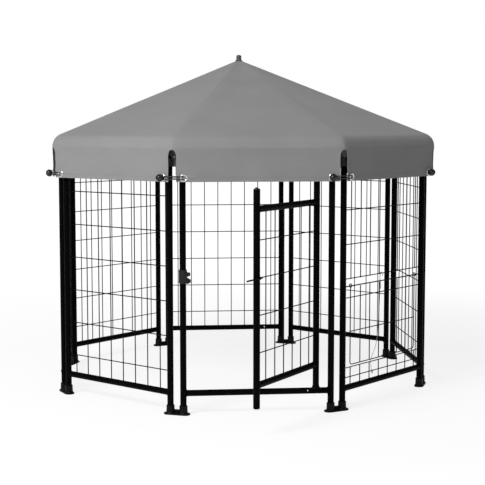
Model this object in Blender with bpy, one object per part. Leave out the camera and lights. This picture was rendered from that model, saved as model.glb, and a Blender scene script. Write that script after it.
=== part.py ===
# Free-standing octagonal pet shelter: eight welded steel panels, a swinging gate, a flap hatch
# and a fabric canopy on a hub and eight rafters.
# Metres, +Z up, the gate panel faces -Y. The origin is on the ground, under the middle of the box
# that holds the whole shelter with its gate standing open.

import bpy
import bmesh
from math import atan2, cos, hypot, pi, radians, sin, sqrt, tan
from mathutils import Matrix, Vector

# Driving dimensions of the ring of panels
PANEL_COUNT = 8
PANEL_PITCH = 0.585  # between the centres of a panel's two posts
CORNER_PITCH = 0.054  # between the centres of the two posts that meet at a corner
POST_DIAMETER = 0.025
RAIL_DIAMETER = 0.0246
TUBE_WALL = 0.0012
POST_TOP_Z = 1.000
LOW_RAIL_Z = 0.086
TOP_RAIL_Z = 0.958
TUBE_SIDES = 12
SLEEVE_SIDES = 10
BORE_SIDES = 8
HOLE_SIDES = 6

# Wire mesh of a panel
WIRE = 0.0035
COLUMN_COUNT = 8
COLUMN_PITCH = 0.0685
FIRST_ROW_Z = 0.172
ROW_PITCH = 0.1375
ROW_COUNT = 6

# Clearances
SEAT_GAP = 0.0003  # between pieces that touch
FIT_GAP = 0.0004  # round a post in its socket
WELD_DEPTH = 0.0004  # how far a welded rod sinks into the tube it lies on

# Feet
FOOT_LENGTH = 0.108
FOOT_WIDTH = 0.040
FOOT_BASE = 0.006
CUP_DIAMETER = 0.0325
CUP_HEIGHT = 0.030

# Gate in the front panel
HINGE_TO_POST = 0.060  # hinge axis to the right-hand post
GATE_WIDTH = 0.473  # hinge axis to the centre of the free post
GATE_OPEN_ANGLE = radians(54.0)  # how far the gate stands open at rest
GATE_LOW_RAIL_Z = 0.192
GATE_TOP_RAIL_Z = 0.835
FREE_POST_LOW_Z = 0.105
FREE_POST_TOP_Z = 0.911
GATE_COLUMN_COUNT = 6
BUSH_HEIGHT = 0.010
BUSH_FLARE = 0.0175
BUSH_NECK = 0.0135
HINGE_PIN_RADIUS = 0.0096
HINGE_PIN_LENGTH = 0.030

# Gate latch
STRIKE_RADIUS = 0.003
STRIKE_RUN = 0.0008  # between the strike bar and the latch post that it passes in front of
STRIKE_Z = 0.586
STRIKE_REACH = 0.100  # past the centre of the free post
STRIKE_ROOT = 0.018  # behind the centre of the free post
LATCH_COLLAR_LOW_Z = 0.521
LATCH_COLLAR_TOP_Z = 0.574
LATCH_COLLAR_WALL = 0.0030
CATCH_PIVOT_Z = 0.560
CATCH_PIVOT_X = 0.004  # from the post's centre towards the gate
CATCH_THICKNESS = 0.003
CATCH_RUN = 0.0015  # between the strike bar and the catch in front of it
CATCH_PIN_RADIUS = 0.003
CATCH_BOSS_RADIUS = 0.006
CATCH_PIN_HEAD = 0.0022
CATCH_HALF_WIDTH = 0.013
CATCH_HEAD_TOP = 0.0145  # above the pivot, as the next heights are
CATCH_TAB_REACH = 0.024
CATCH_TAB_TOP = 0.006
CATCH_TAB_LOW = -0.007
CATCH_NOTCH_REACH = 0.010
CATCH_NOTCH_TOP = -0.013
CATCH_NOTCH_LOW = -0.019
CATCH_HOOK_REACH = 0.021
CATCH_CORNER = 0.004
JAW_LOW_Z = 0.524
JAW_TOP_Z = 0.538
JAW_REACH = 0.030

# Hatch in the panel to the right of the gate
UPPER_MESH_LOW_Z = 0.5245
HATCH_BAR_Z = 0.494
HATCH_BAR_RADIUS = 0.0025
HATCH_SECOND_Z = 0.448
HATCH_THIRD_Z = 0.3105
HATCH_LOW_Z = 0.176
LOWER_MESH_TOP_Z = 0.166
LOWER_MESH_ROW_Z = 0.1265
HATCH_END_GAP = 0.003  # between the hatch's longest wire and the posts
EYE_CLEARANCE = 0.0006
EYE_LIFT = 0.0055  # how much taller than wide a hinge eye is

# Hook that hangs on the wire above the hatch, and the cord that ties it to a wire below
HOOK_X = -0.016
HOOK_WIRE_RADIUS = 0.0015
HOOK_HALF_WIDTH = 0.006
HOOK_FLAT_HALF = 0.0035
HOOK_TIP_Z = 0.5165
GRIP_Y = 0.0072
GRIP_TOP_Z = 0.491
GRIP_TAPER = 0.025  # from its top down to its widest
GRIP_TIP = 0.0085  # from there down to its tip
GRIP_TOP_RADIUS = 0.0036
GRIP_WIDE_RADIUS = 0.0050
GRIP_TIP_RADIUS = 0.0016
CORD_TIE_RADIUS = 0.0010
KNOT_X = -0.078
KNOT_RADIUS = 0.0030
KNOT_TAIL = 0.007
# bends of the hanging cord, as shares of the way from the hook to the knot and off the wires,
# and of the height between the two
CORD_BENDS = ((0.0, 1.0, 0.903), (0.081, 0.944, 0.736), (0.177, 0.889, 0.570), (0.290, 0.833, 0.410),
              (0.500, 0.750, 0.292), (0.774, 0.667, 0.222), (1.016, 0.611, 0.165), (1.081, 0.583, 0.113),
              (1.032, 0.611, 0.047))

# Canopy
VALANCE_STAND = 0.0353  # from the middle of a panel's tubes out to the face of the valance
CREASE_RISE = 0.080  # from the post tops up to where the roof and the valance planes would meet
ROOF_RISE = 0.341  # from there up to the apex
VALANCE_DROP = 0.164  # from there down to the hem
EAVE_RADIUS = 0.055
FABRIC = 0.0015
ROOF_SAG = 0.008
CORNER_SLOT = 0.034
APEX_HOLE = 0.0055
GROMMET_RISE = 0.016  # from the hem to the middle of a grommet
GROMMET_OFFSET = 0.044  # from the corner's middle, along the corner
GROMMET_HOLE = 0.009

# Corner brackets, rafters and hub
SLEEVE_DIAMETER = 0.0325
SLEEVE_LOW_Z = 0.974
BRACKET_CAP = 0.004
WEB_THICKNESS = 0.012
TAB_WIDTH = 0.033
TAB_RISE = 0.046  # above the post tops
TAB_CORNER = 0.010
TAB_HOLE_RADIUS = 0.003
TAB_HOLE_X = -0.004
TAB_HOLE_RISE = 0.012  # above the post tops
STEM_WIDTH = 0.0095
STEM_THICKNESS = 0.008
STEM_LOW_Z = 0.941
RAFTER_RADIUS = 0.00475
SOCKET_RADIUS = 0.008
SOCKET_LENGTH = 0.030
SOCKET_END_WALL = 0.004
HUB_APOTHEM = 0.050
HUB_TOP_APOTHEM = 0.012
HUB_DROP = 0.040  # from the apex to the underside of the hub
HUB_SOCKET_END = 0.020
STUD_RADIUS = 0.004
STUD_DEPTH = 0.035  # from the apex to the lower end of the stud
FINIAL_RISE = 0.022  # above the apex
FINIAL_FOOT_RADIUS = 0.0095
FINIAL_RADIUS = 0.0115

# Ball bungees
CORD_RADIUS = 0.0025
BALL_RADIUS = 0.015
CORD_SIDES = 5
BUNGEE_BEND = 0.006  # radius of the elastic's turns round the posts
BUNGEE_LEAD = 0.0055  # sideways from a grommet to where the elastic starts to turn into it

# Values that follow from the driving dimensions
STEP = 2.0 * pi / PANEL_COUNT
HALF_STEP = STEP / 2.0
POST_RADIUS = POST_DIAMETER / 2.0
RAIL_RADIUS = RAIL_DIAMETER / 2.0
FLAT = cos(pi / TUBE_SIDES)  # inscribed over circumscribed radius of a tube's outline
SLEEVE_BORE = (POST_RADIUS + FIT_GAP) / cos(pi / BORE_SIDES)  # clears a post turned either way
PANEL_RADIUS = (PANEL_PITCH / 2.0 + CORNER_PITCH / (2.0 * cos(HALF_STEP))) / tan(HALF_STEP)
CORNER_RADIUS = PANEL_RADIUS * cos(HALF_STEP) + PANEL_PITCH / 2.0 * sin(HALF_STEP)
POST_LOW_Z = FOOT_BASE + SEAT_GAP
HINGE_X = PANEL_PITCH / 2.0 - HINGE_TO_POST
LATCH_X = -PANEL_PITCH / 2.0
STRIKE_WELD_Y = -(POST_RADIUS * FLAT + STRIKE_RADIUS * cos(pi / BORE_SIDES) - WELD_DEPTH)
STRIKE_LATCH_Y = -(POST_RADIUS + STRIKE_RADIUS + STRIKE_RUN)
STRIKE_SLANT = (STRIKE_LATCH_Y - STRIKE_WELD_Y) / (PANEL_PITCH - HINGE_TO_POST - GATE_WIDTH)
CATCH_BACK_Y = STRIKE_LATCH_Y - STRIKE_RADIUS - CATCH_RUN
CATCH_FRONT_Y = CATCH_BACK_Y - CATCH_THICKNESS
CANOPY_APOTHEM = PANEL_RADIUS + VALANCE_STAND
CREASE_Z = POST_TOP_Z + CREASE_RISE
CANOPY_APEX_Z = CREASE_Z + ROOF_RISE
VALANCE_LOW_Z = CREASE_Z - VALANCE_DROP
GROMMET_Z = VALANCE_LOW_Z + GROMMET_RISE
TAB_TOP_Z = POST_TOP_Z + TAB_RISE
TAB_HOLE_Z = POST_TOP_Z + TAB_HOLE_RISE
HUB_LOW_Z = CANOPY_APEX_Z - HUB_DROP
STUD_LOW_Z = CANOPY_APEX_Z - STUD_DEPTH
FINIAL_TOP_Z = CANOPY_APEX_Z + FINIAL_RISE
ROOF_SLOPE = (CANOPY_APEX_Z - CREASE_Z) / CANOPY_APOTHEM
RIDGE_SLOPE = ROOF_SLOPE * cos(HALF_STEP)
ROOF_STRETCH = sqrt(1.0 + ROOF_SLOPE ** 2)
RAFTER_DROP = (FABRIC + SOCKET_RADIUS + SEAT_GAP) * ROOF_STRETCH
MESH_HALF_WIDTH = PANEL_PITCH / 2.0 - POST_RADIUS * FLAT - SEAT_GAP
RAIL_FLAT = RAIL_RADIUS * FLAT
GRIP_WIDE_Z = GRIP_TOP_Z - GRIP_TAPER
GRIP_LOW_Z = GRIP_WIDE_Z - GRIP_TIP
PANEL_NAMES = (
    "front", "front_right", "right", "back_right", "back", "back_left", "left", "front_left")
GATE_PANEL = 0
HATCH_PANEL = 1
# the posts of a corner in the corner's own frame, x along it and -y outwards
POST_OFFSETS = (-CORNER_PITCH / 2.0, CORNER_PITCH / 2.0)


def clear_scene():
    for thing in list(bpy.data.objects):
        bpy.data.objects.remove(thing, do_unlink=True)


def material(name, colour, roughness, metallic=0.0):
    made = bpy.data.materials.new(name)
    made.use_nodes = True
    shader = made.node_tree.nodes["Principled BSDF"]
    shader.inputs["Base Color"].default_value = (*colour, 1.0)
    shader.inputs["Roughness"].default_value = roughness
    shader.inputs["Metallic"].default_value = metallic
    return made


def empty(name, location=(0.0, 0.0, 0.0), turn=0.0, parent=None):
    made = bpy.data.objects.new(name, None)
    made.location = location
    made.rotation_euler = (0.0, 0.0, turn)
    made.parent = parent
    bpy.context.scene.collection.objects.link(made)
    return made


def mesh_from(bm, name):
    bmesh.ops.recalc_face_normals(bm, faces=bm.faces)
    mesh = bpy.data.meshes.new(name)
    bm.to_mesh(mesh)
    bm.free()
    return mesh


def piece(name, mesh, finish, parent, location=(0.0, 0.0, 0.0), turn=0.0, smooth=True):
    made = bpy.data.objects.new(name, mesh)
    made.parent = parent
    made.location = location
    made.rotation_euler = (0.0, 0.0, turn)
    if not mesh.materials:
        mesh.materials.append(finish)
    if smooth:
        mesh.shade_smooth()
        mesh.set_sharp_from_angle(angle=radians(40.0))
    bpy.context.scene.collection.objects.link(made)
    return made


def baked(base, steps):
    # base and the tools in steps are meshes; each step is ("UNION" or "DIFFERENCE", mesh)
    body = bpy.data.objects.new("body", base)
    bpy.context.scene.collection.objects.link(body)
    tools = []
    for operation, tool_mesh in steps:
        tool = bpy.data.objects.new("tool", tool_mesh)
        bpy.context.scene.collection.objects.link(tool)
        change = body.modifiers.new("change", "BOOLEAN")
        change.operation = operation
        change.object = tool
        tools.append(tool)
    graph = bpy.context.evaluated_depsgraph_get()
    result = bpy.data.meshes.new_from_object(body.evaluated_get(graph))
    for thing in [body] + tools:
        bpy.data.objects.remove(thing, do_unlink=True)
    return result


def add_rod(bm, start, end, radius, sides, end_radius=None, turn=0.0):
    # a prism or a cone between two points, flat-on to the axes, or turned about its own axis
    start, end = Vector(start), Vector(end)
    along = end - start
    aim = along.to_track_quat("Z", "Y").to_matrix().to_4x4()
    spin = Matrix.Rotation(pi / sides + turn, 4, "Z")
    place = Matrix.Translation((start + end) / 2.0) @ aim @ spin
    second = radius if end_radius is None else end_radius
    bmesh.ops.create_cone(
        bm, cap_ends=True, segments=sides, radius1=radius, radius2=second,
        depth=along.length, matrix=place)


def rod(start, end, radius, sides, end_radius=None, turn=0.0):
    bm = bmesh.new()
    add_rod(bm, start, end, radius, sides, end_radius, turn)
    return mesh_from(bm, "rod")


def box(low, high):
    bm = bmesh.new()
    low, high = Vector(low), Vector(high)
    place = Matrix.Translation((low + high) / 2.0) @ Matrix.Diagonal((*(high - low), 1.0))
    bmesh.ops.create_cube(bm, size=1.0, matrix=place)
    return mesh_from(bm, "box")


def arc(centre, radius, first, last, count):
    # points of an arc in a plane, first and last in radians
    points = []
    for index in range(count + 1):
        angle = first + (last - first) * index / count
        points.append((centre[0] + radius * cos(angle), centre[1] + radius * sin(angle)))
    return points


def plate(outline, place, depth):
    # an outline in (u, v), set in space by place(u, v, w) and made depth thick along w
    bm = bmesh.new()
    near = [bm.verts.new(place(u, v, 0.0)) for u, v in outline]
    far = [bm.verts.new(place(u, v, depth)) for u, v in outline]
    bm.faces.new(near)
    bm.faces.new(list(reversed(far)))
    count = len(outline)
    for index in range(count):
        after = (index + 1) % count
        bm.faces.new((near[after], near[index], far[index], far[after]))
    return mesh_from(bm, "plate")


def turned(profile, sides):
    # a closed (radius, z) profile turned about Z; its first and last points lie on the axis
    bm = bmesh.new()
    rings = []
    for radius, z in profile:
        if radius == 0.0:
            rings.append([bm.verts.new((0.0, 0.0, z))])
            continue
        ring = []
        for index in range(sides):
            angle = 2.0 * pi * index / sides
            ring.append(bm.verts.new((radius * cos(angle), radius * sin(angle), z)))
        rings.append(ring)
    for lower, upper in zip(rings, rings[1:]):
        for index in range(sides):
            after = (index + 1) % sides
            corners = [lower[index % len(lower)], lower[after % len(lower)],
                       upper[after % len(upper)], upper[index % len(upper)]]
            bm.faces.new(list(dict.fromkeys(corners)))
    return mesh_from(bm, "turned")


def wire_grid(columns, rows, thickness):
    # flat welded wires about the plane y = 0
    # columns: (x, width, low z, top z); rows: (z, width, left x, right x)
    xs, zs = set(), set()
    for x, width, low, top in columns:
        xs.update((round(x - width / 2.0, 6), round(x + width / 2.0, 6)))
        zs.update((round(low, 6), round(top, 6)))
    for z, width, left, right in rows:
        zs.update((round(z - width / 2.0, 6), round(z + width / 2.0, 6)))
        xs.update((round(left, 6), round(right, 6)))
    xs, zs = sorted(xs), sorted(zs)

    def filled(i, k):
        if not (0 <= i < len(xs) - 1 and 0 <= k < len(zs) - 1):
            return False
        x, z = (xs[i] + xs[i + 1]) / 2.0, (zs[k] + zs[k + 1]) / 2.0
        in_column = any(abs(x - cx) < w / 2.0 and low < z < top for cx, w, low, top in columns)
        in_row = any(abs(z - cz) < w / 2.0 and left < x < right for cz, w, left, right in rows)
        return in_column or in_row

    bm = bmesh.new()
    corners = {}

    def corner(i, k, side):
        if (i, k, side) not in corners:
            corners[(i, k, side)] = bm.verts.new((xs[i], side * thickness / 2.0, zs[k]))
        return corners[(i, k, side)]

    for i in range(len(xs) - 1):
        for k in range(len(zs) - 1):
            if not filled(i, k):
                continue
            around = ((i, k), (i + 1, k), (i + 1, k + 1), (i, k + 1))
            bm.faces.new([corner(*at, -1) for at in around])
            bm.faces.new([corner(*at, 1) for at in reversed(around)])
            beside = ((i, k - 1), (i + 1, k), (i, k + 1), (i - 1, k))
            for edge, other in enumerate(beside):
                if filled(*other):
                    continue
                a, b = around[edge], around[(edge + 1) % 4]
                bm.faces.new((corner(*b, -1), corner(*a, -1), corner(*a, 1), corner(*b, 1)))
    return mesh_from(bm, "grid")


def shell(rows, filled):
    # a closed skin from rows of (outer point, inner point) pairs that run round in a ring
    bm = bmesh.new()
    made = [[(bm.verts.new(outer), bm.verts.new(inner)) for outer, inner in row] for row in rows]
    columns = len(rows[0])

    def is_filled(row, column):
        return 0 <= row < len(rows) - 1 and filled(row, column % columns)

    for row in range(len(rows) - 1):
        for column in range(columns):
            if not is_filled(row, column):
                continue
            after = (column + 1) % columns
            a, b = made[row][column], made[row][after]
            c, d = made[row + 1][after], made[row + 1][column]
            bm.faces.new((a[0], d[0], c[0], b[0]))
            bm.faces.new((a[1], b[1], c[1], d[1]))
            walls = ((is_filled(row - 1, column), a, b), (is_filled(row, column + 1), b, c),
                     (is_filled(row + 1, column), c, d), (is_filled(row, column - 1), d, a))
            for covered, first, second in walls:
                if not covered:
                    bm.faces.new((first[0], second[0], second[1], first[1]))
    return mesh_from(bm, "shell")


def round_tube(points, radius, sides, closed, up=(0.0, 0.0, 1.0)):
    # a tube along points, its rings square to the route; up is never along the route
    bm = bmesh.new()
    count = len(points)
    points = [Vector(point) for point in points]
    rings = []
    up = Vector(up)
    for index, point in enumerate(points):
        before = points[(index - 1) % count] if closed or index > 0 else point
        after = points[(index + 1) % count] if closed or index < count - 1 else point
        along = (after - before).normalized()
        side = along.cross(up).normalized()
        top = side.cross(along)
        ring = []
        for turn in range(sides):
            angle = 2.0 * pi * turn / sides
            ring.append(bm.verts.new(point + radius * (cos(angle) * side + sin(angle) * top)))
        rings.append(ring)
    spans = count if closed else count - 1
    for index in range(spans):
        lower, upper = rings[index], rings[(index + 1) % count]
        for turn in range(sides):
            after = (turn + 1) % sides
            bm.faces.new((lower[turn], lower[after], upper[after], upper[turn]))
    if not closed:
        bm.faces.new(rings[0])
        bm.faces.new(rings[-1])
    return mesh_from(bm, "tube")


def panel_place(index):
    # location and turn of a panel's own frame: x along the panel, -y outwards
    angle = index * STEP
    return (PANEL_RADIUS * sin(angle), -PANEL_RADIUS * cos(angle), 0.0), angle


def columns_at(count):
    return [(index - (count - 1) / 2.0) * COLUMN_PITCH for index in range(count)]


# Panels

def ladder_frame(left_x, right_x, rails, left_ends, right_ends, welded=()):
    # two round posts with rails welded between them, one hollow tube work, and solid rods welded on
    bore = POST_RADIUS - TUBE_WALL
    rail_bore = RAIL_RADIUS - TUBE_WALL
    right_post = rod((right_x, 0, right_ends[0]), (right_x, 0, right_ends[1]), POST_RADIUS, TUBE_SIDES)
    steps = [("UNION", right_post)]
    for z in rails:
        steps.append(("UNION", rod((left_x, 0, z), (right_x, 0, z), RAIL_RADIUS, TUBE_SIDES)))
    steps += [("UNION", mesh) for mesh in welded]
    for x, ends in ((left_x, left_ends), (right_x, right_ends)):
        reach = 2.0 * TUBE_WALL
        hollow = rod((x, 0, ends[0] - reach), (x, 0, ends[1] + reach), bore, BORE_SIDES)
        steps.append(("DIFFERENCE", hollow))
    for z in rails:
        steps.append(("DIFFERENCE", rod((left_x, 0, z), (right_x, 0, z), rail_bore, BORE_SIDES)))
    base = rod((left_x, 0, left_ends[0]), (left_x, 0, left_ends[1]), POST_RADIUS, TUBE_SIDES)
    return baked(base, steps)


def build_panel_frames(ring, steel):
    ends, rails, half = (POST_LOW_Z, POST_TOP_Z), (LOW_RAIL_Z, TOP_RAIL_Z), PANEL_PITCH / 2.0
    plain = ladder_frame(-half, half, rails, ends, ends)
    crossbar = rod((-half, 0, HATCH_BAR_Z), (half, 0, HATCH_BAR_Z), HATCH_BAR_RADIUS, BORE_SIDES)
    barred = ladder_frame(-half, half, rails, ends, ends, [crossbar])
    for index, name in enumerate(PANEL_NAMES):
        location, turn = panel_place(index)
        mesh = barred if index == HATCH_PANEL else plain
        piece(name + "_frame", mesh, steel, ring, location, turn)


def full_mesh():
    low = LOW_RAIL_Z + RAIL_FLAT + SEAT_GAP
    top = TOP_RAIL_Z - RAIL_FLAT - SEAT_GAP
    columns = [(x, WIRE, low, top) for x in columns_at(COLUMN_COUNT)]
    rows = [(FIRST_ROW_Z + index * ROW_PITCH, WIRE, -MESH_HALF_WIDTH, MESH_HALF_WIDTH)
            for index in range(ROW_COUNT)]
    return wire_grid(columns, rows, WIRE)


def upper_mesh():
    # above the hatch the wires start again from the hatch's head
    top = TOP_RAIL_Z - RAIL_FLAT - SEAT_GAP
    low = UPPER_MESH_LOW_Z - WIRE / 2.0
    columns = [(x, WIRE, low, top) for x in columns_at(COLUMN_COUNT)]
    rows = [(UPPER_MESH_LOW_Z + index * ROW_PITCH, WIRE, -MESH_HALF_WIDTH, MESH_HALF_WIDTH)
            for index in range(3)]
    return wire_grid(columns, rows, WIRE)


def lower_mesh():
    low = LOW_RAIL_Z + RAIL_FLAT + SEAT_GAP
    top = LOWER_MESH_TOP_Z + WIRE / 2.0
    columns = [(x, WIRE, low, top) for x in columns_at(COLUMN_COUNT)]
    rows = [(z, WIRE, -MESH_HALF_WIDTH, MESH_HALF_WIDTH) for z in (LOWER_MESH_ROW_Z, LOWER_MESH_TOP_Z)]
    return wire_grid(columns, rows, WIRE)


def build_meshes(ring, steel):
    shared = full_mesh()
    for index, name in enumerate(PANEL_NAMES):
        location, turn = panel_place(index)
        if index == HATCH_PANEL:
            piece(name + "_upper_mesh", upper_mesh(), steel, ring, location, turn, smooth=False)
            piece(name + "_lower_mesh", lower_mesh(), steel, ring, location, turn, smooth=False)
        elif index != GATE_PANEL:
            piece(name + "_mesh", shared, steel, ring, location, turn, smooth=False)


# Hatch

def hatch_eye(x):
    # a tall eye of wire round the crossbar
    inner = HATCH_BAR_RADIUS + EYE_CLEARANCE

    def outline(radius):
        top = arc((0.0, HATCH_BAR_Z + EYE_LIFT), radius, 0.0, pi, 5)
        return top + arc((0.0, HATCH_BAR_Z), radius, pi, 2.0 * pi, 5)

    body = plate(outline(inner + WIRE), lambda u, v, w: (x - WIRE / 2.0 + w, u, v), WIRE)
    slot = plate(outline(inner), lambda u, v, w: (x - WIRE + w, u, v), 2.0 * WIRE)
    return baked(body, [("DIFFERENCE", slot)])


def hatch_door():
    xs = columns_at(COLUMN_COUNT)
    top = HATCH_BAR_Z - HATCH_BAR_RADIUS - 2.0 * EYE_CLEARANCE
    columns = [(x, WIRE, HATCH_LOW_Z - WIRE / 2.0, top) for x in xs]
    edge = xs[-1] + WIRE / 2.0
    longest = MESH_HALF_WIDTH - HATCH_END_GAP
    rows = [(HATCH_LOW_Z, WIRE, -edge, edge), (HATCH_THIRD_Z, WIRE, -edge, edge),
            (HATCH_SECOND_Z, WIRE, -longest, longest)]
    eyes = [("UNION", hatch_eye(x)) for x in (xs[0], xs[-1])]
    return baked(wire_grid(columns, rows, WIRE), eyes)


def hatch_hook():
    # a wire hook over the mesh's lowest wire, its shank passing behind the crossbar into a tapered grip
    top_z = UPPER_MESH_LOW_Z + WIRE / 2.0 + 2.0 * SEAT_GAP + HOOK_WIRE_RADIUS
    route = [(-HOOK_HALF_WIDTH, HOOK_TIP_Z), (-HOOK_HALF_WIDTH, UPPER_MESH_LOW_Z),
             (-HOOK_FLAT_HALF, top_z), (HOOK_FLAT_HALF, top_z), (HOOK_HALF_WIDTH, UPPER_MESH_LOW_Z),
             (GRIP_Y, GRIP_TOP_Z - HOOK_WIRE_RADIUS)]
    points = [(HOOK_X, y, z) for y, z in route]
    wire = round_tube(points, HOOK_WIRE_RADIUS, BORE_SIDES, False, (1.0, 0.0, 0.0))
    grip = turned([(0.0, GRIP_LOW_Z), (GRIP_TIP_RADIUS, GRIP_LOW_Z), (GRIP_WIDE_RADIUS, GRIP_WIDE_Z),
                   (GRIP_TOP_RADIUS, GRIP_TOP_Z), (0.0, GRIP_TOP_Z)], BORE_SIDES)
    grip.transform(Matrix.Translation((HOOK_X, GRIP_Y, 0.0)))
    return baked(wire, [("UNION", grip)])


def smoothed(points, steps):
    # a smooth curve through the points, with steps spans between each two
    points = [Vector(point) for point in points]
    curve = []
    for index in range(len(points) - 1):
        before = points[max(index - 1, 0)]
        start, end = points[index], points[index + 1]
        after = points[min(index + 2, len(points) - 1)]
        for step in range(steps):
            t = step / steps
            curve.append(0.5 * (2.0 * start + (end - before) * t
                                + (2.0 * before - 5.0 * start + 4.0 * end - after) * t ** 2
                                + (3.0 * start - before - 3.0 * end + after) * t ** 3))
    curve.append(points[-1])
    return curve


def hatch_cord():
    # hangs slack behind the hatch, from under the hook's grip to a loop and a knot on the lower wire
    loop = (WIRE * sqrt(0.5) + SEAT_GAP + CORD_TIE_RADIUS) / cos(pi / BORE_SIDES)
    knot_z = LOWER_MESH_ROW_Z - loop - KNOT_RADIUS + CORD_TIE_RADIUS
    start_z = GRIP_LOW_Z - SEAT_GAP
    route = [(HOOK_X, GRIP_Y, start_z)]
    for aside, off, up in CORD_BENDS:
        route.append((HOOK_X + aside * (KNOT_X - HOOK_X), off * GRIP_Y,
                      LOWER_MESH_ROW_Z + up * (start_z - LOWER_MESH_ROW_Z)))
    route.append((KNOT_X, loop, LOWER_MESH_ROW_Z))
    cord = round_tube(smoothed(route, 3), CORD_TIE_RADIUS, HOLE_SIDES, False, (0.0, 1.0, 0.0))
    turn = [(KNOT_X, y, z) for y, z in arc((0.0, LOWER_MESH_ROW_Z), loop, 0.0, 2.0 * pi, BORE_SIDES)[:-1]]
    steps = [("UNION", round_tube(turn, CORD_TIE_RADIUS, HOLE_SIDES, True, (1.0, 0.0, 0.0)))]
    knot = bmesh.new()
    bmesh.ops.create_icosphere(
        knot, subdivisions=1, radius=KNOT_RADIUS, matrix=Matrix.Translation((KNOT_X, 0.0, knot_z)))
    steps.append(("UNION", mesh_from(knot, "knot")))
    for side in (-1.0, 1.0):
        end = (KNOT_X + side * KNOT_TAIL * 0.5, 0.0, knot_z - KNOT_TAIL)
        steps.append(("UNION", rod((KNOT_X, 0.0, knot_z), end, CORD_TIE_RADIUS, HOLE_SIDES)))
    return baked(cord, steps)


def build_hatch(ring, steel, clip_steel, cord_fibre):
    location, turn = panel_place(HATCH_PANEL)
    panel = empty("hatch_panel", location, turn, ring)
    pivot = empty("hatch_pivot", (0.0, 0.0, HATCH_BAR_Z), 0.0, panel)
    door = hatch_door()
    door.transform(Matrix.Translation((0.0, 0.0, -HATCH_BAR_Z)))
    piece("hatch_door", door, steel, pivot, smooth=False)
    piece("hatch_hook", hatch_hook(), clip_steel, panel)
    piece("hatch_cord", hatch_cord(), cord_fibre, panel)


# Gate

def bushing(rail_z, toward):
    # a flared collar saddled on a rail, with the pin that the gate's tube turns on
    # toward is 1 where the pin points up and -1 where it points down
    base_z = rail_z + toward * RAIL_RADIUS * 0.55
    neck_z = rail_z + toward * (RAIL_RADIUS + BUSH_HEIGHT)
    pin_z = neck_z + toward * HINGE_PIN_LENGTH
    collar = rod((HINGE_X, 0, base_z), (HINGE_X, 0, neck_z), BUSH_FLARE, TUBE_SIDES, BUSH_NECK)
    pin = rod((HINGE_X, 0, rail_z), (HINGE_X, 0, pin_z), HINGE_PIN_RADIUS, TUBE_SIDES)
    reach = 2.0 * BUSH_FLARE
    saddle = rod((HINGE_X - reach, 0, rail_z), (HINGE_X + reach, 0, rail_z),
                 RAIL_RADIUS + SEAT_GAP / FLAT, TUBE_SIDES)
    return baked(collar, [("UNION", pin), ("DIFFERENCE", saddle)])


def build_gate(ring, steel):
    location, turn = panel_place(GATE_PANEL)
    panel = empty("gate_panel", location, turn, ring)
    piece("gate_lower_bushing", bushing(LOW_RAIL_Z, 1.0), steel, panel)
    piece("gate_upper_bushing", bushing(TOP_RAIL_Z, -1.0), steel, panel)
    pivot = empty("gate_pivot", (HINGE_X, 0.0, 0.0), GATE_OPEN_ANGLE, panel)
    hinge_low = LOW_RAIL_Z + RAIL_RADIUS + BUSH_HEIGHT + SEAT_GAP
    hinge_top = TOP_RAIL_Z - RAIL_RADIUS - BUSH_HEIGHT - SEAT_GAP
    strike = rod((-GATE_WIDTH + STRIKE_ROOT, STRIKE_WELD_Y - STRIKE_SLANT * STRIKE_ROOT, STRIKE_Z),
                 (-GATE_WIDTH - STRIKE_REACH, STRIKE_WELD_Y + STRIKE_SLANT * STRIKE_REACH, STRIKE_Z),
                 STRIKE_RADIUS, BORE_SIDES)
    frame = ladder_frame(-GATE_WIDTH, 0.0, (GATE_LOW_RAIL_Z, GATE_TOP_RAIL_Z),
                         (FREE_POST_LOW_Z, FREE_POST_TOP_Z), (hinge_low, hinge_top), [strike])
    piece("gate_frame", frame, steel, pivot)
    inset = POST_RADIUS * FLAT + SEAT_GAP
    low = GATE_LOW_RAIL_Z + RAIL_FLAT + SEAT_GAP
    top = GATE_TOP_RAIL_Z - RAIL_FLAT - SEAT_GAP
    xs = [x - GATE_WIDTH / 2.0 for x in columns_at(GATE_COLUMN_COUNT)]
    row_zs = [FIRST_ROW_Z + index * ROW_PITCH for index in range(ROW_COUNT)]
    rows = [(z, WIRE, -GATE_WIDTH + inset, -inset) for z in row_zs if low + WIRE < z < top - WIRE]
    mesh = wire_grid([(x, WIRE, low, top) for x in xs], rows, WIRE)
    piece("gate_mesh", mesh, steel, pivot, smooth=False)


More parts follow.
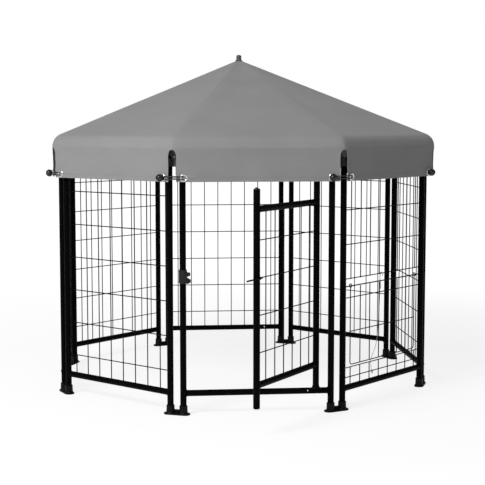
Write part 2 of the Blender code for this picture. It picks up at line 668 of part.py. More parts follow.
def build_latch(ring, steel):
    location, turn = panel_place(GATE_PANEL)
    panel = empty("latch_panel", location, turn, ring)
    inner = POST_RADIUS + FIT_GAP
    collar = rod((LATCH_X, 0, LATCH_COLLAR_LOW_Z), (LATCH_X, 0, LATCH_COLLAR_TOP_Z),
                 inner + LATCH_COLLAR_WALL, TUBE_SIDES)
    pivot_x = LATCH_X + CATCH_PIVOT_X
    boss = rod((pivot_x, -inner, CATCH_PIVOT_Z), (pivot_x, CATCH_BACK_Y + SEAT_GAP, CATCH_PIVOT_Z),
               CATCH_BOSS_RADIUS, TUBE_SIDES)
    head_y = CATCH_FRONT_Y - SEAT_GAP
    pin = rod((pivot_x, -inner, CATCH_PIVOT_Z), (pivot_x, head_y - CATCH_PIN_HEAD / 2.0, CATCH_PIVOT_Z),
              CATCH_PIN_RADIUS, TUBE_SIDES)
    head = rod((pivot_x, head_y, CATCH_PIVOT_Z), (pivot_x, head_y - CATCH_PIN_HEAD, CATCH_PIVOT_Z),
               CATCH_BOSS_RADIUS, TUBE_SIDES)
    jaw = box((LATCH_X, -inner - LATCH_COLLAR_WALL * 0.8, JAW_LOW_Z),
              (LATCH_X + JAW_REACH, -inner, JAW_TOP_Z))
    reach = 2.0 * TUBE_WALL
    bore = rod((LATCH_X, 0, LATCH_COLLAR_LOW_Z - reach), (LATCH_X, 0, LATCH_COLLAR_TOP_Z + reach),
               inner, TUBE_SIDES)
    parts = [("UNION", boss), ("UNION", pin), ("UNION", head), ("UNION", jaw), ("DIFFERENCE", bore)]
    bracket = baked(collar, parts)
    piece("latch_bracket", bracket, steel, panel)
    pivot = empty("catch_pivot", (pivot_x, 0.0, CATCH_PIVOT_Z), 0.0, panel)
    piece("latch_catch", catch_plate(), steel, pivot)


def catch_plate():
    # seen from outside, x towards the gate and z up from the pivot: round head, tab, notch and hook
    half, corner = CATCH_HALF_WIDTH, CATCH_CORNER
    foot = LATCH_COLLAR_LOW_Z - CATCH_PIVOT_Z
    outline = arc((0.0, CATCH_HEAD_TOP - half), half, pi, pi / 4.0, 5)
    outline += [
        (half, CATCH_TAB_TOP), (CATCH_TAB_REACH - corner, CATCH_TAB_TOP),
        (CATCH_TAB_REACH, CATCH_TAB_TOP - corner), (CATCH_TAB_REACH, CATCH_TAB_LOW),
        (CATCH_NOTCH_REACH, CATCH_NOTCH_TOP), (CATCH_HOOK_REACH, CATCH_NOTCH_LOW),
        (CATCH_HOOK_REACH, foot + 1.5 * corner), (CATCH_HOOK_REACH - 1.5 * corner, foot),
        (-half + corner, foot), (-half, foot + corner)]
    body = plate(outline, lambda u, v, w: (u, CATCH_FRONT_Y + w, v), CATCH_THICKNESS)
    hole = rod((0, CATCH_FRONT_Y - CATCH_THICKNESS, 0), (0, CATCH_BACK_Y + CATCH_THICKNESS, 0),
               CATCH_PIN_RADIUS + FIT_GAP, TUBE_SIDES)
    return baked(body, [("DIFFERENCE", hole)])


# Corners

def build_feet(ring, plastic):
    ends = FOOT_LENGTH / 2.0 - FOOT_WIDTH / 2.0
    outline = arc((ends, -CORNER_RADIUS), FOOT_WIDTH / 2.0, -pi / 2.0, pi / 2.0, 4)
    outline += arc((-ends, -CORNER_RADIUS), FOOT_WIDTH / 2.0, pi / 2.0, 3.0 * pi / 2.0, 4)
    base = plate(outline, lambda u, v, w: (u, v, w), FOOT_BASE)
    steps = []
    for x in POST_OFFSETS:
        cup = rod((x, -CORNER_RADIUS, FOOT_BASE / 2.0), (x, -CORNER_RADIUS, FOOT_BASE + CUP_HEIGHT),
                  CUP_DIAMETER / 2.0, SLEEVE_SIDES)
        bore = rod((x, -CORNER_RADIUS, FOOT_BASE), (x, -CORNER_RADIUS, FOOT_BASE + 2.0 * CUP_HEIGHT),
                   SLEEVE_BORE, BORE_SIDES)
        steps += [("UNION", cup), ("DIFFERENCE", bore)]
    mesh = baked(base, steps)
    for index, name in enumerate(PANEL_NAMES):
        piece("foot_after_" + name, mesh, plastic, ring, turn=(index + 0.5) * STEP)


def rafter_axis(radius):
    # the point on a rafter's axis at this distance from the shelter's middle, in a corner's frame
    return Vector((0.0, -radius, CANOPY_APEX_Z - RAFTER_DROP - RIDGE_SLOPE * radius))


def along_rafter(radius, distance):
    # from that point, a distance outwards and down the rafter
    outwards = Vector((0.0, -1.0, -RIDGE_SLOPE)).normalized()
    return rafter_axis(radius) + outwards * distance


def build_brackets(ring, plastic):
    top = POST_TOP_Z + SEAT_GAP + BRACKET_CAP
    middle = -CORNER_RADIUS
    steps = []
    for x in POST_OFFSETS:
        sleeve = rod((x, middle, SLEEVE_LOW_Z), (x, middle, top), SLEEVE_DIAMETER / 2.0, SLEEVE_SIDES)
        steps.append(("UNION", sleeve))
    half_tab, tab_corner = TAB_WIDTH / 2.0, TAB_CORNER
    outline = [(-half_tab, SLEEVE_LOW_Z + SEAT_GAP), (half_tab, SLEEVE_LOW_Z + SEAT_GAP)]
    outline += arc((half_tab - tab_corner, TAB_TOP_Z - tab_corner), tab_corner, 0.0, pi / 2.0, 2)
    outline += arc((-half_tab + tab_corner, TAB_TOP_Z - tab_corner), tab_corner, pi / 2.0, pi, 2)
    tab = plate(outline, lambda u, v, w: (u, middle - WEB_THICKNESS / 2.0 + w, v), WEB_THICKNESS)
    stem = box((0.0, middle - STEM_THICKNESS / 2.0, STEM_LOW_Z),
               (STEM_WIDTH, middle + STEM_THICKNESS / 2.0, SLEEVE_LOW_Z + BRACKET_CAP))
    socket_end = SOCKET_END_WALL + WEB_THICKNESS / 2.0
    socket = rod(along_rafter(CORNER_RADIUS, socket_end - SOCKET_LENGTH),
                 along_rafter(CORNER_RADIUS, socket_end), SOCKET_RADIUS, SLEEVE_SIDES)
    neck_top = rafter_axis(CORNER_RADIUS).z - SOCKET_RADIUS * 0.4
    neck = box((-SOCKET_RADIUS * 0.7, middle - WEB_THICKNESS * 0.4, TAB_TOP_Z - tab_corner),
               (SOCKET_RADIUS * 0.7, middle + WEB_THICKNESS * 0.4, neck_top))
    steps += [("UNION", stem), ("UNION", neck), ("UNION", socket)]
    for x in POST_OFFSETS:
        bore = rod((x, middle, SLEEVE_LOW_Z - BRACKET_CAP), (x, middle, POST_TOP_Z + SEAT_GAP),
                   SLEEVE_BORE, BORE_SIDES)
        steps.append(("DIFFERENCE", bore))
    mouth = along_rafter(CORNER_RADIUS, -2.0 * SOCKET_LENGTH)
    floor = along_rafter(CORNER_RADIUS, WEB_THICKNESS / 2.0)
    steps.append(("DIFFERENCE", rod(mouth, floor, RAFTER_RADIUS + FIT_GAP, BORE_SIDES)))
    hole = rod((TAB_HOLE_X, middle - WEB_THICKNESS, TAB_HOLE_Z),
               (TAB_HOLE_X, middle + WEB_THICKNESS, TAB_HOLE_Z), TAB_HOLE_RADIUS, HOLE_SIDES)
    steps.append(("DIFFERENCE", hole))
    mesh = baked(tab, steps)
    for index, name in enumerate(PANEL_NAMES):
        piece("bracket_after_" + name, mesh, plastic, ring, turn=(index + 0.5) * STEP)


def build_rafters(ring, steel):
    outer = along_rafter(CORNER_RADIUS, WEB_THICKNESS / 2.0 - SEAT_GAP)
    inner = rafter_axis(HUB_SOCKET_END + SEAT_GAP)
    mesh = rod(inner, outer, RAFTER_RADIUS, BORE_SIDES)
    for index, name in enumerate(PANEL_NAMES):
        piece("rafter_after_" + name, mesh, steel, ring, turn=(index + 0.5) * STEP)


def roof_z(apothem, drop):
    # height of the roof plane, lowered square to the plane by drop
    return CANOPY_APEX_Z - drop * ROOF_STRETCH - ROOF_SLOPE * apothem


def octagon(apothem, z):
    radius = apothem / cos(HALF_STEP)
    turns = [(index + 0.5) * STEP for index in range(PANEL_COUNT)]
    return [(radius * sin(turn), -radius * cos(turn), z) for turn in turns]


def build_hub(ring, plastic):
    bm = bmesh.new()
    drop = FABRIC + SEAT_GAP
    levels = [octagon(HUB_APOTHEM, HUB_LOW_Z), octagon(HUB_APOTHEM, roof_z(HUB_APOTHEM, drop)),
              octagon(HUB_TOP_APOTHEM, roof_z(HUB_TOP_APOTHEM, drop))]
    made = [[bm.verts.new(point) for point in level] for level in levels]
    for lower, upper in zip(made, made[1:]):
        for index in range(PANEL_COUNT):
            after = (index + 1) % PANEL_COUNT
            bm.faces.new((lower[index], lower[after], upper[after], upper[index]))
    bm.faces.new(list(reversed(made[0])))
    bm.faces.new(made[-1])
    base = mesh_from(bm, "hub")
    steps = []
    for index in range(PANEL_COUNT):
        turn = Matrix.Rotation((index + 0.5) * STEP, 4, "Z")
        start = turn @ rafter_axis(HUB_SOCKET_END)
        end = turn @ rafter_axis(2.0 * HUB_APOTHEM)
        steps.append(("DIFFERENCE", rod(start, end, RAFTER_RADIUS + FIT_GAP, BORE_SIDES)))
    stud_bore = rod((0, 0, HUB_LOW_Z - BRACKET_CAP), (0, 0, CANOPY_APEX_Z),
                    STUD_RADIUS + 2.0 * FIT_GAP, BORE_SIDES)
    steps.append(("DIFFERENCE", stud_bore))
    piece("roof_hub", baked(base, steps), plastic, ring)


def build_finial(ring, plastic):
    def under(radius):
        return CANOPY_APEX_Z + SEAT_GAP - RIDGE_SLOPE * radius

    height = FINIAL_TOP_Z - under(FINIAL_FOOT_RADIUS)
    low = under(FINIAL_FOOT_RADIUS)
    profile = [(0.0, STUD_LOW_Z), (STUD_RADIUS, STUD_LOW_Z), (STUD_RADIUS, under(STUD_RADIUS)),
               (FINIAL_FOOT_RADIUS, low), (FINIAL_FOOT_RADIUS, low + 0.12 * height),
               (FINIAL_RADIUS, low + 0.40 * height), (FINIAL_RADIUS, low + 0.72 * height),
               (FINIAL_RADIUS * 0.75, low + 0.93 * height), (0.0, FINIAL_TOP_Z)]
    piece("finial_knob", turned(profile, TUBE_SIDES), plastic, ring)


# Canopy

def canopy_profile():
    # (apothem, z, outward slope of the skin) from the apex down over the eave to the hem
    pitch = atan2(ROOF_SLOPE, 1.0)
    setback = EAVE_RADIUS * tan((pi / 2.0 - pitch) / 2.0)
    centre_a = CANOPY_APOTHEM - EAVE_RADIUS
    centre_z = CREASE_Z - setback
    start_a = CANOPY_APOTHEM - setback * cos(pitch)
    roof = []
    for apothem in (APEX_HOLE, 1.3 * HUB_APOTHEM, 0.40 * start_a, 0.72 * start_a):
        roof.append((apothem, CANOPY_APEX_Z - ROOF_SLOPE * apothem, sin(pitch), cos(pitch)))
    eave = []
    steps = 4
    for index in range(steps + 1):
        angle = (pi / 2.0 - pitch) * (1.0 - index / steps)
        out_a, out_z = cos(angle), sin(angle)
        eave.append((centre_a + EAVE_RADIUS * out_a, centre_z + EAVE_RADIUS * out_z, out_a, out_z))
    hem = (CANOPY_APOTHEM, VALANCE_LOW_Z, 1.0, 0.0)
    return roof + eave + [hem], len(roof)


def canopy_mesh():
    profile, eave_row = canopy_profile()
    hem_half = CANOPY_APOTHEM * tan(HALF_STEP)
    slot_share = 1.0 - CORNER_SLOT / 2.0 / cos(HALF_STEP) / hem_half
    shares = (-1.0, -slot_share, 0.0, slot_share)
    rows = []
    for row, (apothem, z, out_a, out_z) in enumerate(profile):
        points = []
        for facet in range(PANEL_COUNT):
            turn = Matrix.Rotation(facet * STEP, 3, "Z")
            for share in shares:
                sag = ROOF_SAG if share == 0.0 and 1 < row < eave_row else 0.0
                pair = []
                for depth in (0.0, FABRIC):
                    a = apothem - depth * out_a
                    x = share * a * tan(HALF_STEP)
                    pair.append(turn @ Vector((x, -a, z - depth * out_z - sag)))
                points.append(tuple(pair))
        rows.append(points)
    slot_row = len(profile) - 2
    last = len(shares) - 1

    def filled(row, column):
        return row < slot_row or 0 < column % len(shares) < last

    return shell(rows, filled)


def grommet_point(side):
    # on the outer face of the valance, in a corner's frame
    x = side * GROMMET_OFFSET
    radius = (CANOPY_APOTHEM - GROMMET_OFFSET * sin(HALF_STEP)) / cos(HALF_STEP)
    return Vector((x, -radius, GROMMET_Z))


def grommet_normal(side):
    return Vector((side * sin(HALF_STEP), -cos(HALF_STEP), 0.0))


def build_canopy(ring, fabric):
    bm = bmesh.new()
    for index in range(PANEL_COUNT):
        turn = Matrix.Rotation((index + 0.5) * STEP, 4, "Z")
        for side in (-1.0, 1.0):
            centre, normal = grommet_point(side), grommet_normal(side)
            reach = 4.0 * FABRIC
            add_rod(bm, turn @ (centre + normal * reach), turn @ (centre - normal * reach),
                    GROMMET_HOLE, HOLE_SIDES)
    holes = mesh_from(bm, "holes")
    piece("canopy_cover", baked(canopy_mesh(), [("DIFFERENCE", holes)]), fabric, ring)


def bungee_route():
    # the elastic loop, seen from above: out over the slot, in through the right grommet,
    # behind both posts and out through the left grommet into the ball
    edge_x = CORNER_SLOT / 2.0
    lift = CORD_RADIUS + 2.0 * SEAT_GAP
    edge = (CANOPY_APOTHEM - edge_x * sin(HALF_STEP)) / cos(HALF_STEP) + lift
    hole = -grommet_point(1.0).y
    behind = CORNER_RADIUS - POST_RADIUS - lift
    bend, lead = BUNGEE_BEND, BUNGEE_LEAD
    half = [(0.0, edge + 2.0 * SEAT_GAP), (edge_x, edge),
            (GROMMET_OFFSET - 2.5 * lead, hole + 1.7 * lead), (GROMMET_OFFSET - lead, hole + 0.9 * lead),
            (GROMMET_OFFSET, hole - 0.7 * lead), (GROMMET_OFFSET, hole - 3.0 * lead),
            (GROMMET_OFFSET, behind + bend), (GROMMET_OFFSET - 0.3 * bend, behind + 0.3 * bend),
            (GROMMET_OFFSET - bend, behind)]
    other = [(-x, radius) for x, radius in reversed(half[1:])]
    return [(x, -radius, GROMMET_Z) for x, radius in half + other]


def build_bungees(ring, rubber):
    loop = round_tube(bungee_route(), CORD_RADIUS, CORD_SIDES, True)
    bm = bmesh.new()
    centre = grommet_point(-1.0) + grommet_normal(-1.0) * (BALL_RADIUS + 2.0 * SEAT_GAP)
    bmesh.ops.create_uvsphere(
        bm, u_segments=8, v_segments=5, radius=BALL_RADIUS, matrix=Matrix.Translation(centre))
    mesh = baked(loop, [("UNION", mesh_from(bm, "ball"))])
    for index, name in enumerate(PANEL_NAMES):
        piece("bungee_after_" + name, mesh, rubber, ring, turn=(index + 0.5) * STEP)


def centre_on_ground(ring):
    # moves the assembly so that the middle of its box, seen from above, stands over the origin
    graph = bpy.context.evaluated_depsgraph_get()
    corners = []
    for thing in bpy.data.objects:
        if thing.type == "MESH":
            seen = thing.evaluated_get(graph)
            corners += [seen.matrix_world @ vertex.co for vertex in seen.data.vertices]
    for axis in (0, 1):
        values = [corner[axis] for corner in corners]
        ring.location[axis] -= (min(values) + max(values)) / 2.0


def main():
    clear_scene()
    steel = material("black_powder_coat", (0.012, 0.012, 0.014), 0.38, 0.4)
    plastic = material("black_plastic", (0.014, 0.014, 0.015), 0.5)
    grey_plastic = material("dark_grey_plastic", (0.045, 0.045, 0.047), 0.5)
    fabric = material("grey_fabric", (0.24, 0.24, 0.24), 0.9)
    rubber = material("black_elastic", (0.02, 0.02, 0.02), 0.6)
    clip_steel = material("grey_coated_steel", (0.10, 0.10, 0.105), 0.4, 0.6)
    cord_fibre = material("grey_cord", (0.30, 0.30, 0.30), 0.85)
    ring = empty("shelter_centre")
    build_panel_frames(ring, steel)
    build_meshes(ring, steel)
    build_hatch(ring, steel, clip_steel, cord_fibre)
    build_gate(ring, steel)
    build_latch(ring, steel)
    build_feet(ring, plastic)
    build_brackets(ring, grey_plastic)
    build_rafters(ring, steel)
    build_hub(ring, grey_plastic)
    build_finial(ring, grey_plastic)
    build_canopy(ring, fabric)
    build_bungees(ring, rubber)
    centre_on_ground(ring)


main()
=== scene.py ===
"""Dressed model of a free-standing octagonal pet shelter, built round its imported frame.

Eight welded panels stand in a ring on plastic feet. The front one holds a swinging gate with a
latch, the next one a flap hatch with its hook and cord, and a grey canopy lies on eight rafters
and a hub, held down at the corners by ball bungees. Metres, +Z up, the gate panel faces -Y.
Only the profiles of turned pieces and plates are in millimetres.
"""

import logging
from collections.abc import Callable, Iterator, Sequence
from contextlib import contextmanager
from dataclasses import dataclass, field
from enum import Enum
from math import atan2, cos, exp, hypot, pi, radians, sin, sqrt, tan

import bmesh
import bpy
from mathutils import Matrix, Vector

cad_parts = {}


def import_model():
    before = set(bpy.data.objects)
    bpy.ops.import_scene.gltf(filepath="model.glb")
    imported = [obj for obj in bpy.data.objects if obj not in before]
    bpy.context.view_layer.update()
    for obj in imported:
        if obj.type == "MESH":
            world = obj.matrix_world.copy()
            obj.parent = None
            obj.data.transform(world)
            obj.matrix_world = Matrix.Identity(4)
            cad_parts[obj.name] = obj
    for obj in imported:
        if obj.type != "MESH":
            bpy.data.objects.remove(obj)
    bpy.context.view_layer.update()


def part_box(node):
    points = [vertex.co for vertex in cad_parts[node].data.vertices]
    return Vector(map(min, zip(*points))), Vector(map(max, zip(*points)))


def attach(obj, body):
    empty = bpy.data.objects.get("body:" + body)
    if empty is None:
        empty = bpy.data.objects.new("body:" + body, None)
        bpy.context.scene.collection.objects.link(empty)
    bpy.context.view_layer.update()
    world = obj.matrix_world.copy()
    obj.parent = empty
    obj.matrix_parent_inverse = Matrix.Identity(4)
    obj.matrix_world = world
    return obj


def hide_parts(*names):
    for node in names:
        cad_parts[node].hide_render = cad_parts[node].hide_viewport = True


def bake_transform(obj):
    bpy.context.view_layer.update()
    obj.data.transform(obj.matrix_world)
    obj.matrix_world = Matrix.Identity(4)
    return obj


LOG = logging.getLogger("pet_shelter")
Spot = tuple[float, float, float]
Station = tuple[float, float]
Profile = tuple[Station, ...]
Row = tuple[float, float, float, float, float]
Thing = bpy.types.Object
Paint = bpy.types.Material
Socket = bpy.types.NodeSocket
ALONG, OUTWARD, UP = Vector((1.0, 0.0, 0.0)), Vector((0.0, 1.0, 0.0)), Vector((0.0, 0.0, 1.0))
MM = 1000.0
POINT = 0.00002  # the radius of a ring that closes on the axis
NEAR = 0.00001  # what lies nearer than this is one
LEVEL = 0.01  # a way that rises less than this is level
DRILL = 0.01  # how far a drill reaches past what it cuts
WELD_SINK = 0.0008  # how far a wire's end sinks into its tube


class Body(Enum):
    """The moving bodies of the shelter."""

    SHELTER = "shelter"
    GATE = "gate"
    CATCH = "catch"
    HATCH = "hatch"
    HOOK = "hook"


class Slot(Enum):
    """The finishes that a scene may repaint."""

    POWDER_COAT = "black_powder_coat"
    RAFTER_STEEL = "rafter_steel"
    BLACK_PLASTIC = "black_plastic"
    GREY_PLASTIC = "dark_grey_plastic"
    FABRIC = "grey_fabric"
    ELASTIC = "black_elastic"
    HOOK_STEEL = "hook_steel"
    CORD = "grey_cord"


class Kind(Enum):
    """What an edit picks on a mesh."""

    VERT = "VERT"
    EDGE = "EDGE"
    FACE = "FACE"


# Finishes


class NodeBench:
    """Wires up the nodes of one material."""

    def __init__(self, name: str) -> None:
        """Starts a material with only its Principled shader.

        Args:
            name: the material's name.
        """
        self.material = bpy.data.materials.new(name)
        self.material.use_nodes = True
        self.tree = self.material.node_tree

    def feed(self, target: Socket, value: "Socket | float | tuple[float, ...]") -> None:
        """Links a socket to another one or sets its value.

        Args:
            target: the socket.
            value: another socket, or its new value.
        """
        if isinstance(value, Socket):
            self.tree.links.new(value, target)
        elif target.type == "RGBA":
            target.default_value = (*value, 1.0)
        else:
            target.default_value = value

    def node(self, kind: str, *feeds: "Socket | float | Spot", **settings: object) -> bpy.types.Node:
        """Adds a node.

        Args:
            kind: the node's type, without its ShaderNode prefix.
            feeds: what its first inputs get, in order.
            settings: its own properties, or what inputs get by name, with _ for a space.

        Returns:
            The new node.
        """
        made = self.tree.nodes.new("ShaderNode" + kind)
        for key, value in settings.items():
            if hasattr(made, key):
                setattr(made, key, value)
            else:
                self.feed(made.inputs[key.replace("_", " ")], value)
        for target, value in zip(made.inputs, feeds):
            self.feed(target, value)
        return made

    def place(self) -> Socket:
        """Gives the Object coordinates."""
        return self.node("TexCoord").outputs["Object"]

    def axes(self, place: Socket) -> tuple[Socket, Socket, Socket]:
        """Takes coordinates apart."""
        return tuple(self.node("SeparateXYZ", place).outputs)

    def noise(self, place: Socket, scale: float, detail: float = 2.0) -> Socket:
        """Adds a noise of so many blots a metre."""
        return self.node("TexNoise", place, Scale=scale, Detail=detail).outputs["Fac"]

    def ranged(self, value: Socket, low: float, high: float, out_low: float = 0.0,
               out_high: float = 1.0) -> Socket:
        """Maps a value from one range to another and clamps it."""
        return self.node("MapRange", value, low, high, out_low, out_high).outputs["Result"]

    def math(self, operation: str, *values: "Socket | float") -> Socket:
        """Does sums on one or two values."""
        return self.node("Math", *values, operation=operation).outputs["Value"]

    def wave(self, value: Socket, turns: float) -> Socket:
        """Gives the sine of a value times turns."""
        return self.math("SINE", self.math("MULTIPLY", value, turns))

    def blend(self, share: Socket, first: "Spot | Socket", second: "Spot | Socket") -> Socket:
        """Mixes two colours, from the first at 0 to the second at 1.

        Args:
            share: how much of the second colour shows.
            first: the colour at 0.
            second: the colour at 1.

        Returns:
            The mixed colour.
        """
        made = self.node("Mix", share, data_type="RGBA")
        self.feed(made.inputs[6], first)
        self.feed(made.inputs[7], second)
        return made.outputs[2]

    def bump(self, height: Socket, depth: float, strength: float, **under: Socket) -> Socket:
        """Raises the surface by a height.

        Args:
            height: the height, from 0 to 1.
            depth: how deep a height of 1 is, in metres.
            strength: how much of it shows.
            under: another bump's normal, as Normal, that this one goes on.

        Returns:
            The normal.
        """
        return self.node("Bump", Distance=depth, Strength=strength, Height=height, **under).outputs["Normal"]

    def dress(self, **values: "Socket | float | Spot") -> Paint:
        """Feeds the shader's sockets and gives the material.

        Args:
            values: what each socket gets by name, with _ for a space.

        Returns:
            The material.
        """
        for key, value in values.items():
            self.feed(self.tree.nodes["Principled BSDF"].inputs[key.replace("_", " ")], value)
        return self.material


@dataclass(frozen=True)
class PowderCoat:
    """Satin powder coat over steel: orange peel, faint blotches and a little dust near the ground."""

    name: str = "satin_black_powder_coat"
    colour: Spot = (0.0013, 0.0013, 0.0017)
    roughness: float = 0.42
    dusty: Spot = (0.008, 0.0078, 0.0075)
    dust_top: float = 0.30
    peel: float = 750.0

    def made(self) -> Paint:
        """Builds the material.

        Returns:
            The material.
        """
        bench = NodeBench(self.name)
        place = bench.place()
        low = bench.ranged(bench.axes(place)[2], 0.0, self.dust_top, 1.0, 0.0)
        dust = bench.math("MULTIPLY", bench.ranged(bench.noise(place, 55.0, 5.0), 0.42, 0.75), low)
        blotch = bench.ranged(bench.noise(place, 9.0, 3.0), 0.3, 0.7, 0.0, 0.10)
        share = bench.math("ADD", bench.math("MULTIPLY", dust, 0.30), blotch)
        wear = bench.noise(place, 140.0, 4.0)
        worn = bench.ranged(wear, 0.35, 0.7, self.roughness - 0.05, self.roughness + 0.09)
        return bench.dress(
            Metallic=0.0, Specular_IOR_Level=0.022, Base_Color=bench.blend(share, self.colour, self.dusty),
            Roughness=worn, Normal=bench.bump(bench.noise(place, self.peel, 1.0), 0.00010, 0.35))


@dataclass(frozen=True)
class MouldedPlastic:
    """Injection-moulded plastic: a fine spark-eroded grain and slightly rubbed high spots."""

    name: str
    colour: Spot
    rubbed: Spot
    roughness: float = 0.5
    shine: float = 0.12
    grain: float = 1400.0

    def made(self) -> Paint:
        """Builds the material.

        Returns:
            The material.
        """
        bench = NodeBench(self.name)
        place = bench.place()
        rub = bench.ranged(bench.noise(place, 80.0, 6.0), 0.5, 0.8, 0.0, 0.6)
        wear = bench.noise(place, 45.0, 3.0)
        worn = bench.ranged(wear, 0.3, 0.7, self.roughness - 0.06, self.roughness + 0.08)
        return bench.dress(
            Metallic=0.0, Specular_IOR_Level=self.shine, Roughness=worn,
            Base_Color=bench.blend(rub, self.colour, self.rubbed),
            Normal=bench.bump(bench.noise(place, self.grain, 2.0), 0.00006, 0.5))


@dataclass(frozen=True)
class WovenCloth:
    """Coated plain-weave cloth: threads both ways, slubs, soft blotches and stitched lines."""

    name: str = "grey_coated_canvas"
    worn: Spot = (0.268, 0.268, 0.268)
    shade: Spot = (0.205, 0.205, 0.207)
    sewn: Spot = (0.12, 0.12, 0.122)
    roughness: float = 0.82
    thread: float = 0.0011
    stitch: float = 0.0036

    def made(self) -> Paint:
        """Builds the material.

        Returns:
            The material.
        """
        bench = NodeBench(self.name)
        place, cloth = bench.place(), bench.node("UVMap", uv_map="cloth").outputs["UV"]
        across, down, _ = bench.axes(cloth)
        turns = 2.0 * pi / self.thread
        crossed = bench.math("MULTIPLY", bench.wave(across, turns), bench.wave(down, turns))
        weave = bench.ranged(crossed, -1.0, 1.0)
        threads = bench.node("Mapping", cloth, Scale=(9.0, 260.0, 1.0)).outputs["Vector"]
        slub = bench.ranged(bench.noise(threads, 1.0, 3.0), 0.3, 0.7, 0.0, 0.14)
        blotch = bench.ranged(bench.noise(place, 5.0, 4.0), 0.3, 0.7, 0.0, 0.35)
        share = bench.math("ADD", bench.math("ADD", blotch, slub), bench.ranged(weave, 0.0, 1.0, 0.05, 0.30))
        off_stitch = bench.node("Attribute", attribute_name="off_stitch").outputs["Fac"]
        line = bench.ranged(bench.math("ABSOLUTE", off_stitch), 0.00035, 0.0007, 1.0, 0.0)
        dash = bench.ranged(bench.wave(across, 2.0 * pi / self.stitch), -0.5, -0.2)
        stitched = bench.math("MULTIPLY", bench.math("MULTIPLY", line, dash), 0.7)
        colour = bench.blend(stitched, bench.blend(share, self.shade, self.worn), self.sewn)
        raised = bench.bump(weave, 0.00012, 0.35)
        return bench.dress(
            Roughness=self.roughness, Metallic=0.0, Specular_IOR_Level=0.25, Sheen_Weight=0.12,
            Sheen_Roughness=0.5, Base_Color=colour,
            Normal=bench.bump(bench.noise(place, 26.0, 3.0), 0.0012, 0.22, Normal=raised))


@dataclass(frozen=True)
class BraidedCord:
    """A round braid: strands that cross along the cord, from the cord's own UV map."""

    name: str
    colour: Spot
    light: Spot
    strands: float = 8.0
    lay: float = 0.004
    roughness: float = 0.7

    def made(self) -> Paint:
        """Builds the material.

        Returns:
            The material.
        """
        bench = NodeBench(self.name)
        around, along, _ = bench.axes(bench.node("UVMap", uv_map="cord").outputs["UV"])
        around = bench.math("MULTIPLY", around, pi * self.strands)
        along = bench.math("MULTIPLY", along, 2.0 * pi / self.lay)
        left, right = (bench.math("SINE", bench.math(sign, along, around)) for sign in ("ADD", "SUBTRACT"))
        braid = bench.ranged(bench.math("MULTIPLY", left, right), -1.0, 1.0)
        return bench.dress(
            Roughness=self.roughness, Metallic=0.0, Specular_IOR_Level=0.3,
            Base_Color=bench.blend(braid, self.colour, self.light), Normal=bench.bump(braid, 0.0003, 0.6))


@dataclass(frozen=True)
class BareMetal:
    """Plated or coated metal with fine marks along it."""

    name: str
    colour: Spot
    metallic: float
    roughness: float
    marks: float = 320.0

    def made(self) -> Paint:
        """Builds the material.

        Returns:
            The material.
        """
        bench = NodeBench(self.name)
        place = bench.place()
        marks = bench.noise(place, self.marks, 5.0)
        return bench.dress(
            Metallic=self.metallic, Base_Color=self.colour,
            Roughness=bench.ranged(marks, 0.3, 0.7, self.roughness - 0.07, self.roughness + 0.12),
            Normal=bench.bump(bench.noise(place, 2.0 * self.marks, 2.0), 0.00005, 0.3))


class Finish(Enum):
    """Every finish on the shelter, with the slot that it fills."""

    POWDER = (PowderCoat(), Slot.POWDER_COAT)
    RAFTER = (PowderCoat("painted_rafter_steel", (0.009, 0.009, 0.010), 0.46), Slot.RAFTER_STEEL)
    BLACK = (MouldedPlastic("black_moulded_plastic", (0.0024, 0.0024, 0.0026), (0.007, 0.007, 0.007)),
             Slot.BLACK_PLASTIC)
    GREY = (MouldedPlastic("dark_grey_moulded_plastic", (0.066, 0.066, 0.069), (0.115, 0.115, 0.115),
                           shine=0.40), Slot.GREY_PLASTIC)
    RUBBER = (MouldedPlastic("black_ball_plastic", (0.007, 0.007, 0.008), (0.02, 0.02, 0.02), 0.34, 0.40),
              Slot.ELASTIC)
    CLOTH = (WovenCloth(), Slot.FABRIC)
    ELASTIC = (BraidedCord("black_braided_elastic", (0.010, 0.010, 0.011), (0.05, 0.05, 0.05)), Slot.ELASTIC)
    NICKEL = (BareMetal("nickel_plate", (0.72, 0.71, 0.69), 1.0, 0.24), Slot.HOOK_STEEL)
    # The rivets' plate is whitened and mostly diffuse, a painted highlight that makes each head a bright dot
    ZINC = (BareMetal("zinc_plate_painted_highlight", (0.90, 0.90, 0.89), 0.3, 0.42), Slot.HOOK_STEEL)
    LATCH = (BareMetal("dark_latch_steel", (0.010, 0.010, 0.0115), 0.5, 0.50), Slot.POWDER_COAT)
    HOOK = (BareMetal("grey_coated_wire", (0.40, 0.40, 0.405), 0.1, 0.46), Slot.HOOK_STEEL)
    CORD = (BraidedCord("grey_twisted_cord", (0.30, 0.30, 0.30), (0.46, 0.46, 0.46), 4.0, 0.0025, 0.85),
            Slot.CORD)


# The bench


